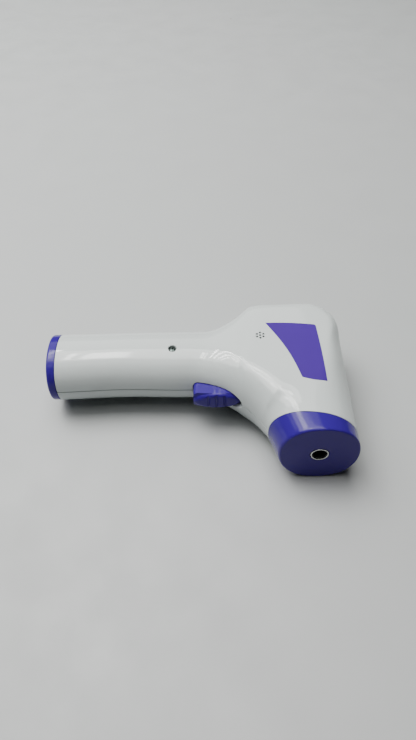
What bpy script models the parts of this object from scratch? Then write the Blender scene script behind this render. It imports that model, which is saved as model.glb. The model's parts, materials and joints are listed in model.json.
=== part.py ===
"""Handheld infrared forehead thermometer, lying on its left side.

+X runs from the end of the grip to the top of the head, -Y is the way the nose points, and +Z is the
thermometer's right side, which faces up. The origin is on the surface it lies on, under the middle of its
box. All sizes are in metres.
"""
import math

import bmesh
import bpy
from mathutils import Matrix, Vector

# Driving dimensions of the housing
LENGTH = 0.1474
HEAD_DEPTH = 0.0850
HEAD_THICK = 0.0366
GRIP_THICK = 0.0296
GRIP_DEPTH = 0.0346
GRIP_SETBACK = 0.0393
REAR_LENGTH = 0.0456
NOSE_WIDTH = 0.0360
WALL = 0.0020
CLEAR = 0.0003

# Shape of the outline
NOSE_SLOPE = math.radians(16.7)
FLARE_ANGLE = math.radians(50.0)
THROAT_RADIUS = 0.0425
FLARE_RADIUS = 0.0510
REAR_LOW_RADIUS = 0.0058
TOP_RADIUS = 0.0165
REAR_EDGE_ROUND = 0.0120
REAR_POWER = 4.0
EDGE_POWER = 2.15
SIDE_EDGE_ROUND = 0.0150
GRIP_WAIST = 0.0010
SIDE_HOLLOW = 0.0004  # of the flat's width: the left side rests on its rim and doesn't rock
EDGE = 0.0012
EDGE_SHARE = 0.3

# Nose ring and infrared sensor
RING_TOP = 0.0068
RING_BOTTOM = 0.0135
RING_PLATE = 0.0025
SENSOR_RADIUS = 0.00405
SENSOR_WALL = 0.0005
BOSS_DEPTH = 0.0060
BOSS_WALL = 0.0015
RING_LAP = 0.0028
TUBE_REACH = 0.0040
SHADE_SETBACK = 0.0015
SHADE_LIP = 0.0003
CAN_RADIUS = 0.0027
CAN_LENGTH = 0.0032
CAN_FOOT = 0.0007
SENSOR_BOARD = 0.0180
SENSOR_BOARD_WIDTH = 0.0144

# Battery end
CAP_LENGTH = 0.0050
SPIGOT = 0.0040
LIP = 0.0012
CUP_DEPTH = 0.0006
BRIDGE_WIDTH = 0.0060
CELL_RADIUS = 0.00525
CELL_LENGTH = 0.0445
CELL_SPACING = 0.0118
CRADLE_WALL = 0.0011
CONTACT_DEPTH = 0.0031
CONTACT_DRILL = 0.0012
CELL_END_RADIUS = 0.0045
CELL_CRIMP = 0.0003
NUB_LENGTH = 0.0010
NUB_RADIUS = 0.0019
NUB_EDGE = 0.0001
PLATE_BUTTON = 0.0020
PLATE_CUP = 0.0030
PLATE_RADIUS = 0.0042
PLATE_TAIL = 0.0016
PLATE_THICK = 0.0010

# Trigger
TRIGGER_LENGTH = 0.0231
TRIGGER_WIDTH = 0.0098
TRIGGER_PROUD = 0.0082
TRIGGER_TRAVEL = 0.0030
TRIGGER_TAPER = 0.0100
TRIGGER_CORNER = 0.0026
TRIGGER_RAISE = 0.0046
TRIGGER_FLANGE = 0.0012
TRIGGER_EDGE = 0.0011
TRIGGER_EDGE_DEPTH = 0.0010
STEM_RADIUS = 0.0014
TRIGGER_BOARD_BELOW = 0.0050
TRIGGER_BOARD_ABOVE = 0.0045
TRIGGER_BOARD_WIDTH = 0.0120
GROOVES = 3
FIRST_GROOVE = 0.0075
GROOVE_PITCH = 0.0039
GROOVE_RADIUS = 0.0006

# Rear face: display and keys
BEZEL_HEIGHT = 0.0232
BEZEL_WIDTH = 0.0240
BEZEL_FRAME = 0.0024
BEZEL_DEPTH = 0.0030
BEZEL_CORNER = 0.0020
BEZEL_MOUTH = 0.0010
WINDOW_CORNER = 0.0008
PANEL_MARGIN = 0.0006
KEY_RADIUS = 0.0027
KEY_PITCH = 0.0082
KEY_PROUD = 0.0008
KEY_TRAVEL = 0.0007
KEY_MARGIN = 0.0033
KEY_FLANGE = 0.0006
FLANGE_THICK = 0.0006
KEY_STEM = 0.0010
KEY_EDGE = 0.0005
KEY_EDGE_DEPTH = 0.0001
KEY_CROWN = 0.0014

# Boards, switches and small parts
BOARD_THICK = 0.0012
BOARD_CORNER = 0.0012
BOARD_MARGIN = 0.0005
CHIP_SIDE = 0.0090
CHIP_THICK = 0.0014
BACKLIGHT_THICK = 0.0028
PANEL_THICK = 0.0014
WINDOW_THICK = 0.0012
TACT_BODY = 0.0045
TACT_HEIGHT = 0.0016
TACT_PLUNGER = 0.0006
PLUNGER_RADIUS = 0.0009
PLUNGER_FOOT = 0.0005
BUZZER_RADIUS = 0.0060
BUZZER_HEIGHT = 0.0030
BUZZER_EDGE = 0.0005
BUZZER_GAP = 0.0012
SOUND_HOLE_RADIUS = 0.00045
SOUND_HOLE_PITCH = 0.0018
SPEAKER_FROM_TOP = 0.0416
SPEAKER_FROM_BOARD = 0.0119
SCREW_BELOW_TRIGGER = 0.0100
SCREW_OFFSET = 0.0028
SCREW_RECESS_RADIUS = 0.0021
SCREW_RECESS = 0.0032
SCREW_HEAD = 0.0016
SCREW_SHANK = 0.0007
SCREW_REACH = 0.0070
POST_RADIUS = 0.0034
POST_BORE = 0.0010
CROSS_LENGTH = 0.0022
CROSS_WIDTH = 0.0005
LABEL_THICK = 0.0002
LABEL_RECESS = 0.0005
LABEL_FROM_TOP = 0.0129
LABEL_FROM_REAR = 0.0182
LABEL_LENGTH = 0.0390
LABEL_WIDTH = 0.0257
LABEL_FOOT = 0.0112
LABEL_SIDE = 0.0365
LABEL_LEAN = 0.0010
LABEL_BOW = 0.0018
LEAD_RADIUS = 0.0006
SENSOR_LEAD_RADIUS = 0.0009
LEAD_TURN = 0.0070
LEAD_SHIFT = 0.0030
LEAD_SPREAD = 0.0050
LEAD_BEND = 0.0058
LEAD_STEP = 0.0015
LEAD_RUN = 0.0065
OVERCUT = 0.0020
SPRING_WIRE = 0.00025
TRIGGER_COIL = 0.0022
CELL_COIL = 0.0030

# Places worked out from the driving dimensions
X_END = -LENGTH / 2
X_SEAM = X_END + CAP_LENGTH
X_TOP = LENGTH / 2
Y_NOSE = -(HEAD_DEPTH + KEY_PROUD) / 2
Y_REAR = Y_NOSE + HEAD_DEPTH
Y_FRONT = Y_NOSE + GRIP_SETBACK
Y_BACK = Y_FRONT + GRIP_DEPTH
Y_GRIP = (Y_FRONT + Y_BACK) / 2
Z_MID = HEAD_THICK / 2
X_SENSOR = X_TOP - NOSE_WIDTH / 2
ARC_STEPS = 6
FLAT_STEPS = 3

WHITE = ((0.80, 0.83, 0.83), 0.18, 0.0)
PURPLE = ((0.085, 0.075, 0.42), 0.25, 0.0)
LILAC = ((0.13, 0.085, 0.42), 0.45, 0.0)
SILVER = ((0.75, 0.75, 0.76), 0.25, 1.0)
BLACK = ((0.02, 0.02, 0.022), 0.5, 0.0)
BOARD_GREEN = ((0.02, 0.13, 0.06), 0.45, 0.0)
STEEL = ((0.55, 0.56, 0.56), 0.35, 1.0)
BRASS = ((0.75, 0.58, 0.25), 0.35, 1.0)
CLEAR_GREY = ((0.45, 0.52, 0.50), 0.05, 0.0)
LCD_GREY = ((0.42, 0.47, 0.42), 0.2, 0.0)
MILKY = ((0.86, 0.88, 0.85), 0.4, 0.0)
CELL_SLEEVE = ((0.10, 0.28, 0.16), 0.35, 0.0)
RED = ((0.55, 0.03, 0.02), 0.5, 0.0)
GREY_CABLE = ((0.35, 0.36, 0.38), 0.5, 0.0)


class Path:
    """A plane path of straight lines joined by arcs, read by the distance along it."""

    def __init__(self, corners, radii):
        points = [Vector(corner) for corner in corners]
        heads = [(b - a).normalized() for a, b in zip(points, points[1:])]
        spans = [(b - a).length for a, b in zip(points, points[1:])]
        turns = [a.angle_signed(b) for a, b in zip(heads, heads[1:])]
        cuts = [0.0] + [r * math.tan(abs(t) / 2) for r, t in zip(radii, turns)] + [0.0]
        limits = [min(1.0, span / max(a + b, 1e-9)) for span, a, b in zip(spans, cuts, cuts[1:])]
        limits = [1.0] + limits + [1.0]
        cuts = [cut * min(a, b) for cut, a, b in zip(cuts, limits, limits[1:])]
        self.pieces = []
        self.marks = [0.0]
        for index, (start, head, span) in enumerate(zip(points, heads, spans)):
            self.add_line(start + head * cuts[index], head, span - cuts[index] - cuts[index + 1])
            if index < len(turns):
                radius = cuts[index + 1] / math.tan(abs(turns[index]) / 2)
                self.add_arc(head, radius, turns[index])

    def add_line(self, start, head, span):
        self.pieces.append((self.marks[-1], span, start, head, 0.0))
        self.marks.append(self.marks[-1] + span)
        self.tip = start + head * span

    def add_arc(self, head, radius, turn):
        span = radius * abs(turn)
        self.pieces.append((self.marks[-1], span, self.tip.copy(), head, turn))
        self.marks.append(self.marks[-1] + span)

    def read(self, distance):
        """Return the point and the heading at a distance; the ends run on straight."""
        for begin, span, start, head, turn in self.pieces:
            if distance <= begin + span:
                break
        travel = distance - begin
        if turn == 0.0:
            return start + head * travel, head
        swing = -turn * travel / span
        radius = span / abs(turn)
        side = Vector((-head.y, head.x)) * (-math.copysign(radius, turn))
        centre = start + side
        return centre + Matrix.Rotation(swing, 2) @ (start - centre), Matrix.Rotation(swing, 2) @ head


OUTER = Path(
    [
        (X_SEAM, Y_BACK),
        (X_TOP - REAR_LENGTH - (Y_REAR - Y_BACK) / math.tan(FLARE_ANGLE), Y_BACK),
        (X_TOP - REAR_LENGTH, Y_REAR),
        (X_TOP, Y_REAR),
        (X_TOP, Y_NOSE),
    ],
    [FLARE_RADIUS, REAR_LOW_RADIUS, TOP_RADIUS],
)
INNER = Path(
    [
        (X_SEAM, Y_FRONT),
        (X_TOP - NOSE_WIDTH - GRIP_SETBACK * math.tan(NOSE_SLOPE), Y_FRONT),
        (X_TOP - NOSE_WIDTH, Y_NOSE),
    ],
    [THROAT_RADIUS],
)
FLARE_START, FLARE_END, LOW_START, LOW_END, TOP_START, TOP_END, OUTER_END = OUTER.marks[1:]
THROAT_START, THROAT_END, INNER_END = INNER.marks[1:]
OUTER_SEAM = OUTER_END - RING_TOP
INNER_SEAM = INNER_END - RING_BOTTOM


def throat(share):
    return THROAT_START + share * (THROAT_END - THROAT_START)


PAIRS = [
    (0.0, 0.0),
    (FLARE_START, min(FLARE_START, throat(0.0))),
    (FLARE_END, throat(0.42)),
    (LOW_END, throat(0.50)),
    (TOP_START, throat(0.68)),
    (TOP_END, throat(0.78)),
    (OUTER_SEAM, INNER_SEAM),
    (OUTER_END, INNER_END),
]


def smooth(share):
    share = min(max(share, 0.0), 1.0)
    return share * share * (3 - 2 * share)


def ramp(value, low, high):
    return smooth((value - low) / (high - low))


def paired(distance):
    """Return the distance along the inner rail that belongs to one along the outer rail."""
    for (a0, b0), (a1, b1) in zip(PAIRS, PAIRS[1:]):
        if distance <= a1:
            break
    return b0 + (b1 - b0) * (distance - a0) / (a1 - a0)


def profile(distance):
    """Return half thickness, roundness of both ends and their exponents at a distance."""
    in_head = ramp(distance, FLARE_START, LOW_END + 0.008)
    at_nose = ramp(distance, TOP_END + 0.012, OUTER_SEAM)
    at_rear = ramp(distance, FLARE_START, LOW_START) * (1 - ramp(distance, TOP_START, TOP_END + 0.01))
    half = (GRIP_THICK + (HEAD_THICK - GRIP_THICK) * in_head) / 2
    fullness = max(1 - in_head, at_nose)
    edge = REAR_EDGE_ROUND * at_rear + SIDE_EDGE_ROUND * (1 - at_rear)
    return half, fullness, edge, EDGE_POWER + (REAR_POWER - EDGE_POWER) * at_rear


def half_section(distance, inset, side, step=0.0, steps=ARC_STEPS):
    """Return one half of the housing's section, from the outer rail over the side to the inner rail.

    The section is inset by a wall from the outer surface. side is 1 for the right half and -1 for
    the left, and step moves its rim off the parting plane.
    """
    half, fullness, edge, power = profile(distance)
    outer, outer_head = OUTER.read(distance)
    inner_distance = paired(distance)
    inner, inner_head = INNER.read(inner_distance)
    waist = GRIP_WAIST * math.sin(math.pi * min(max(inner_distance / THROAT_START, 0.0), 1.0)) ** 2
    outer = outer + Vector((outer_head.y, -outer_head.x)) * inset
    inner = inner + Vector((-inner_head.y, inner_head.x)) * (inset + waist)
    span = inner - outer
    rounds = [fullness * span.length / 2 + (1 - fullness) * max(edge - inset, 0.002)] * 2
    rounds[1] = fullness * span.length / 2 + (1 - fullness) * max(SIDE_EDGE_ROUND - inset, 0.002)
    rounds = [min(r, span.length / 2) for r in rounds]
    high = half - inset - step
    shares = []
    for index in range(steps + 1):
        angle = math.pi / 2 * index / steps
        shares.append((rounds[0] * (1 - math.cos(angle) ** (2 / power)), math.sin(angle) ** (2 / power)))
    flat = span.length - rounds[0] - rounds[1]
    hollow = SIDE_HOLLOW * flat / high if side < 0 else 0.0
    for index in range(1, FLAT_STEPS):
        shares.append((rounds[0] + flat * index / FLAT_STEPS, 1.0 - hollow))
    for index in range(steps, -1, -1):
        angle = math.pi / 2 * index / steps
        along = span.length - rounds[1] * (1 - math.cos(angle) ** (2 / EDGE_POWER))
        shares.append((along, math.sin(angle) ** (2 / EDGE_POWER)))
    points = []
    for along, rise in shares:
        place = outer + span.normalized() * along
        points.append(Vector((place.x, place.y, Z_MID + side * (step + high * rise))))
    return points


def full_section(distance, inset):
    """Return the whole closed section at a distance along the outer rail."""
    upper = half_section(distance, inset, 1)
    lower = half_section(distance, inset, -1)
    return upper + lower[-2:0:-1]


def new_material(name, look):
    colour, roughness, metallic = look
    material = bpy.data.materials.get(name)
    if material is None:
        material = bpy.data.materials.new(name)
        material.use_nodes = True
        shader = material.node_tree.nodes["Principled BSDF"]
        shader.inputs["Base Color"].default_value = (*colour, 1.0)
        shader.inputs["Roughness"].default_value = roughness
        shader.inputs["Metallic"].default_value = metallic
    return material


def finish_mesh(name, mesh, look, at=(0.0, 0.0, 0.0)):
    """Give a bmesh an object whose origin is at a place, with outward faces and smooth shading."""
    bmesh.ops.recalc_face_normals(mesh, faces=mesh.faces)
    bmesh.ops.translate(mesh, verts=mesh.verts, vec=-Vector(at))
    data = bpy.data.meshes.new(name)
    mesh.to_mesh(data)
    mesh.free()
    data.shade_smooth()
    data.set_sharp_from_angle(angle=math.radians(35))
    data.materials.append(new_material(name + "_finish", look))
    thing = bpy.data.objects.new(name, data)
    thing.location = at
    bpy.context.scene.collection.objects.link(thing)
    return thing


def skin(rings, closed=False):
    """Return a bmesh that joins rings of equal count, closed to the first ring or capped at both ends."""
    mesh = bmesh.new()
    rows = [[mesh.verts.new(point) for point in ring] for ring in rings]
    count = len(rows[0])
    for row, following in zip(rows, rows[1:] + ([rows[0]] if closed else [])):
        for index in range(count):
            after = (index + 1) % count
            mesh.faces.new((row[index], row[after], following[after], following[index]))
    if not closed:
        mesh.faces.new(rows[0])
        mesh.faces.new(rows[-1])
    return mesh


def turned(profile_points, axis, centre, sides=24):
    """Return a bmesh of a closed profile of (distance along the axis, radius) turned about the axis."""
    turn = {"x": (0, 1, 2), "y": (1, 2, 0), "z": (2, 0, 1)}[axis]
    rings = []
    for along, radius in profile_points:
        ring = []
        for index in range(sides):
            angle = 2 * math.pi * index / sides
            point = [0.0, 0.0, 0.0]
            point[turn[0]] = along
            point[turn[1]] = radius * math.cos(angle)
            point[turn[2]] = radius * math.sin(angle)
            ring.append(Vector(point) + Vector(centre))
        rings.append(ring)
    return rings


def turned_part(name, profile_points, axis, centre, look, closed=False, sides=24, at=(0.0, 0.0, 0.0)):
    return finish_mesh(name, skin(turned(profile_points, axis, centre, sides), closed), look, at)


def block(name, low, high, look, round_axis=None, radius=0.0, steps=3, at=(0.0, 0.0, 0.0)):
    """Make a box from its low and high corners, with the edges along one axis rounded."""
    mesh = bmesh.new()
    bmesh.ops.create_cube(mesh, size=1.0)
    size = Vector(high) - Vector(low)
    bmesh.ops.scale(mesh, verts=mesh.verts, vec=size)
    bmesh.ops.translate(mesh, verts=mesh.verts, vec=(Vector(high) + Vector(low)) / 2)
    if round_axis is not None:
        edges = []
        for edge in mesh.edges:
            run = edge.verts[1].co - edge.verts[0].co
            if abs(run[round_axis]) > 0.9 * run.length:
                edges.append(edge)
        bmesh.ops.bevel(mesh, geom=edges, offset=radius, segments=steps, profile=0.5, affect="EDGES")
    return finish_mesh(name, mesh, look, at)


def combine(target, tool, operation):
    """Apply a Boolean with another object, and remove that object."""
    modifier = target.modifiers.new(operation.lower(), "BOOLEAN")
    modifier.operation = operation
    modifier.solver = "EXACT"
    modifier.object = tool
    bpy.context.view_layer.update()
    graph = bpy.context.evaluated_depsgraph_get()
    data = bpy.data.meshes.new_from_object(target.evaluated_get(graph))
    target.modifiers.clear()
    old = target.data
    target.data = data
    bpy.data.meshes.remove(old)
    bpy.data.objects.remove(tool)


def cut(target, tool):
    combine(target, tool, "DIFFERENCE")


def join(target, tool):
    combine(target, tool, "UNION")


def spread(low, high, count):
    return [low + (high - low) * index / count for index in range(count)]


def shell_stations():
    """Return distances along the outer rail, closer together where it turns."""
    gap = CLEAR / 2
    stops = spread(gap, FLARE_START, 5)
    stops += spread(FLARE_START, FLARE_END, 6)
    stops += spread(LOW_START, LOW_END, 3)
    stops += spread(LOW_END, TOP_START, 4)
    stops += spread(TOP_START, TOP_END, 5)
    stops += spread(TOP_END, OUTER_SEAM - gap, 6)
    stops.append(OUTER_SEAM - gap)
    return [b for a, b in zip([-1.0] + stops, stops) if b - a > 1e-5]


def make_half_shell(name, side):
    """Make one half of the housing as a thin-walled loft that is open at the grip's end and the nose."""
    rings = []
    for distance in shell_stations():
        outside = half_section(distance, 0.0, side, CLEAR / 2)
        inside = half_section(distance, WALL, side, CLEAR / 2)
        rings.append(outside + inside[::-1])
    mesh = bmesh.new()
    rows = [[mesh.verts.new(point) for point in ring] for ring in rings]
    count = len(rows[0])
    for row, following in zip(rows, rows[1:]):
        for index in range(count):
            after = (index + 1) % count
            mesh.faces.new((row[index], row[after], following[after], following[index]))
    for row in (rows[0], rows[-1]):
        for index in range(count // 2 - 1):
            mesh.faces.new((row[index], row[index + 1], row[count - 2 - index], row[count - 1 - index]))
    return finish_mesh(name, mesh, WHITE)


def trigger_outline(grow):
    """Return the trigger's outline, looking along its travel: blunt below and tapered above."""
    half = TRIGGER_WIDTH / 2 + grow
    low = X_TRIGGER - grow
    high = X_TRIGGER + TRIGGER_LENGTH + grow
    corner = TRIGGER_CORNER + grow
    upper = []
    for index in range(5):
        angle = math.pi / 2 * index / 4
        upper.append((low + corner * (1 - math.cos(angle)), half - corner * (1 - math.sin(angle))))
    taper = TRIGGER_TAPER
    for index in range(9):
        angle = math.pi / 2 * index / 8
        upper.append((high - taper * (1 - math.sin(angle)), half * math.cos(angle)))
    lower = [(x, -z) for x, z in upper[-2::-1]]
    return upper + lower


def trigger_ring(grow, y):
    return [Vector((x, y, Z_MID + z)) for x, z in trigger_outline(grow)]


X_TRIGGER = INNER.read(THROAT_START)[0].x + TRIGGER_RAISE
Y_TRIGGER = Y_FRONT - TRIGGER_PROUD
CAVITY_HALF = GRIP_THICK / 2 - WALL
FLANGE_HALF = TRIGGER_WIDTH / 2 + TRIGGER_FLANGE
FLANGE_SHARE = min((FLANGE_HALF + CLEAR) / CAVITY_HALF, 0.95)
FLANGE_REST = GRIP_DEPTH / 2 * (1 - math.sqrt(1 - FLANGE_SHARE ** 2))
Y_FLANGE = Y_FRONT + WALL + FLANGE_REST + CLEAR
Y_FLANGE_BACK = Y_FLANGE + 0.0016
X_STEM = X_TRIGGER + 0.0065
X_SPRING = X_TRIGGER + 0.0155
Y_STEM = Y_FLANGE_BACK + 0.0022
Y_TACT = Y_STEM + TRIGGER_TRAVEL + CLEAR
Y_TRIGGER_BOARD = Y_TACT + TACT_PLUNGER + TACT_HEIGHT + CLEAR

X_SCREW = X_TRIGGER - SCREW_BELOW_TRIGGER
Y_SCREW = Y_GRIP - SCREW_OFFSET
Z_SCREW_FLOOR = Z_MID + GRIP_THICK / 2 - SCREW_RECESS
X_SPEAKER = X_TOP - SPEAKER_FROM_TOP

X_CUP = X_SEAM - CUP_DEPTH
X_CELLS = X_SEAM + 2 * CUP_DEPTH
X_CRADLE = X_SEAM + SPIGOT + 2 * CLEAR
X_BORE_END = X_CELLS + CELL_LENGTH + CONTACT_DEPTH + CLEAR
X_CRADLE_END = X_BORE_END + CRADLE_WALL

X_KEYS = X_TOP - REAR_LENGTH + REAR_LOW_RADIUS * math.tan(FLARE_ANGLE / 2) + KEY_RADIUS
X_BEZEL = X_KEYS + KEY_RADIUS + KEY_MARGIN
Y_PANEL = Y_REAR + CLEAR - BEZEL_DEPTH - CLEAR - PANEL_THICK
Y_BACKLIGHT = Y_PANEL - CLEAR - BACKLIGHT_THICK
Y_BOARD = Y_BACKLIGHT - CLEAR - BOARD_THICK
Y_SPEAKER = Y_BOARD - SPEAKER_FROM_BOARD - BUZZER_RADIUS
BOARD_HALF = BEZEL_WIDTH / 2 + 0.0005


def label_outline(grow):
    """Return the side label's outline: straight towards the top, curved towards the grip."""
    high_x = X_TOP - LABEL_FROM_TOP
    rear_y = Y_REAR - LABEL_FROM_REAR
    points = [(high_x + grow, rear_y - LABEL_LENGTH - grow)]
    points.append((high_x - LABEL_LEAN + grow, rear_y - 2 * LABEL_LEAN + grow))
    points.append((high_x - LABEL_WIDTH - 2 * grow, rear_y + grow))
    steps = 6
    for index in range(1, steps + 1):
        share = index / steps
        bow = LABEL_BOW * math.sin(math.pi * share) - grow
        x = high_x - LABEL_WIDTH + (LABEL_WIDTH - LABEL_FOOT) * share
        points.append((x + bow, rear_y - LABEL_SIDE * share - grow * share))
    return points


def label_prism(name, grow, low, high):
    rings = [[Vector((x, y, z)) for x, y in label_outline(grow)] for z in (low, high)]
    return finish_mesh(name, skin(rings), LILAC)


def make_shells():
    """Make both half shells with their openings, the screw's post and recess, and the sound holes."""
    right = make_half_shell("right_shell", 1)
    left = make_half_shell("left_shell", -1)
    top = Z_MID + GRIP_THICK / 2
    gap = CLEAR / 2
    upper = top - WALL / 2
    screw_axis = (X_SCREW, Y_SCREW, 0)
    free = SCREW_SHANK + CLEAR
    cup = [(Z_MID + gap, free), (Z_MID + gap, POST_RADIUS), (upper, POST_RADIUS), (upper, free)]
    join(right, turned_part("cup", cup, "z", screw_axis, WHITE, closed=True))
    hole = [(Z_MID - WALL, free), (Z_SCREW_FLOOR, free), (Z_SCREW_FLOOR, SCREW_RECESS_RADIUS)]
    hole.append((top + WALL, SCREW_RECESS_RADIUS))
    cut(right, turned_part("hole", hole, "z", screw_axis, WHITE))
    base = Z_MID - GRIP_THICK / 2 + WALL / 2
    rim = Z_MID - gap
    post = [(base, POST_BORE), (base, POST_RADIUS), (rim, POST_RADIUS), (rim, POST_BORE)]
    join(left, turned_part("post", post, "z", screw_axis, WHITE, closed=True))
    high_side = Z_MID + HEAD_THICK / 2
    for x, y in sound_holes():
        drill = [(top - 3 * WALL, SOUND_HOLE_RADIUS), (high_side + WALL, SOUND_HOLE_RADIUS)]
        cut(right, turned_part("drill", drill, "z", (x, y, 0), WHITE, sides=10))
    label_floor = high_side - LABEL_RECESS
    cut(right, label_prism("recess", CLEAR, label_floor, high_side + WALL))
    slot_gap = 1.3 * CLEAR
    slot_end = Y_FRONT + WALL + FLANGE_REST
    half_opening = BEZEL_WIDTH / 2 + CLEAR
    for shell in (right, left):
        low = (X_BEZEL - CLEAR, Y_REAR - 3 * WALL, Z_MID - half_opening)
        high = (X_BEZEL + BEZEL_HEIGHT + CLEAR, Y_REAR + WALL, Z_MID + half_opening)
        cut(shell, block("opening", low, high, WHITE, 1, BEZEL_CORNER + CLEAR))
        for z in key_places():
            bore = [(Y_REAR - 3 * WALL, KEY_RADIUS + CLEAR), (Y_REAR + WALL, KEY_RADIUS + CLEAR)]
            cut(shell, turned_part("bore", bore, "y", (X_KEYS, 0, z), WHITE, sides=20))
        slot = [trigger_ring(slot_gap, Y_NOSE), trigger_ring(slot_gap, slot_end)]
        cut(shell, finish_mesh("slot", skin(slot), WHITE))


def sound_holes():
    """Return the sound holes' places: one in the middle and six round it."""
    places = [(X_SPEAKER, Y_SPEAKER)]
    for index in range(6):
        angle = math.radians(30 + 60 * index)
        x = X_SPEAKER + SOUND_HOLE_PITCH * math.cos(angle)
        places.append((x, Y_SPEAKER + SOUND_HOLE_PITCH * math.sin(angle)))
    return places


def key_places():
    return [Z_MID - KEY_PITCH, Z_MID, Z_MID + KEY_PITCH]


def ring_section(share, inset):
    """Return the whole section of the nose ring, from the seam (0) to the face (1)."""
    return full_section(OUTER_SEAM + share * RING_TOP, inset)


def round_section(template, radius, y):
    """Return a circle about the sensor's axis whose points stand in the directions of a section's points."""
    points = []
    for point in template:
        way = Vector((point.x - X_SENSOR, 0, point.z - Z_MID)).normalized()
        points.append(Vector((X_SENSOR + way.x * radius, y, Z_MID + way.z * radius)))
    return points


def make_nose_ring():
    """Make the purple ring: a cup with a flat face, a boss for the sensor and a spigot for the shells."""
    gap = CLEAR / RING_TOP / 2
    lip = WALL + CLEAR
    plate = 1 - RING_PLATE / RING_TOP
    lap = -RING_LAP / RING_TOP
    face = full_section(OUTER_END, 0.0)
    bore = SENSOR_RADIUS + CLEAR
    rings = [
        ring_section(lap, lip),
        ring_section(gap, lip),
        ring_section(gap, 0.0),
        ring_section(0.5, 0.0),
        ring_section(1 - EDGE / RING_TOP, 0.0),
        ring_section(1 - EDGE_SHARE * EDGE / RING_TOP, EDGE_SHARE * EDGE),
        ring_section(1.0, EDGE),
        round_section(face, bore, Y_NOSE),
        round_section(face, bore, Y_NOSE + BOSS_DEPTH),
        round_section(face, bore + BOSS_WALL, Y_NOSE + BOSS_DEPTH),
        round_section(face, bore + BOSS_WALL, Y_NOSE + RING_PLATE),
        ring_section(plate, lip + LIP),
        ring_section(lap, lip + LIP),
    ]
    return finish_mesh("nose_ring", skin(rings, closed=True), PURPLE)


def make_sensor():
    """Make the silver tube in the nose, the black tube inside it, and the sensor with its board."""
    centre = (X_SENSOR, 0, Z_MID)
    back = Y_NOSE + BOSS_DEPTH + TUBE_REACH
    bore = SENSOR_RADIUS - SENSOR_WALL
    tube = [(Y_NOSE, bore), (Y_NOSE, SENSOR_RADIUS), (back, SENSOR_RADIUS), (back, bore)]
    turned_part("sensor_ring", tube, "y", centre, SILVER, closed=True)
    black = bore - CLEAR
    front = Y_NOSE + SHADE_SETBACK
    shade = [(front, black - SHADE_LIP), (front, black), (back, black), (back, black - 4 * SHADE_LIP)]
    turned_part("sensor_tube", shade, "y", centre, BLACK, closed=True)
    can = back + CLEAR
    foot = can + CAN_LENGTH - CAN_FOOT
    foot_radius = CAN_RADIUS + CAN_FOOT
    case = [(can, CAN_RADIUS), (foot, CAN_RADIUS), (foot, foot_radius), (can + CAN_LENGTH, foot_radius)]
    turned_part("thermopile", case, "y", centre, STEEL)
    board = can + CAN_LENGTH + CLEAR
    low = (X_SENSOR - SENSOR_BOARD / 2, board, Z_MID - SENSOR_BOARD_WIDTH / 2)
    high = (X_SENSOR + SENSOR_BOARD / 2, board + BOARD_THICK, Z_MID + SENSOR_BOARD_WIDTH / 2)
    block("sensor_board", low, high, BOARD_GREEN, 1, BOARD_CORNER)
    return board + BOARD_THICK


def make_end_cap():
    """Make the grip's end cap with its spigot. It pulls off along -X."""
    gap = CLEAR / 2
    lip = WALL + CLEAR
    inner = lip + LIP
    corner = EDGE_SHARE * EDGE
    stops = [(X_END, EDGE), (X_END + corner, corner), (X_END + EDGE, 0.0), (X_SEAM - gap, 0.0)]
    stops += [(X_SEAM - gap, lip), (X_SEAM + SPIGOT, lip), (X_SEAM + SPIGOT, inner), (X_CUP, inner)]
    rings = [full_section(x - X_SEAM, inset) for x, inset in stops]
    at = (X_SEAM, Y_GRIP, Z_MID)
    finish_mesh("end_cap", skin(rings), PURPLE, at)
    half = BRIDGE_WIDTH / 2
    low = (X_CUP + CLEAR, Y_GRIP - CELL_SPACING / 2 - half, Z_MID - half)
    high = (X_CELLS - CLEAR, Y_GRIP + CELL_SPACING / 2 + half, Z_MID + half)
    block("cap_bridge", low, high, STEEL, 0, half / 2, at=at)


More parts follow.
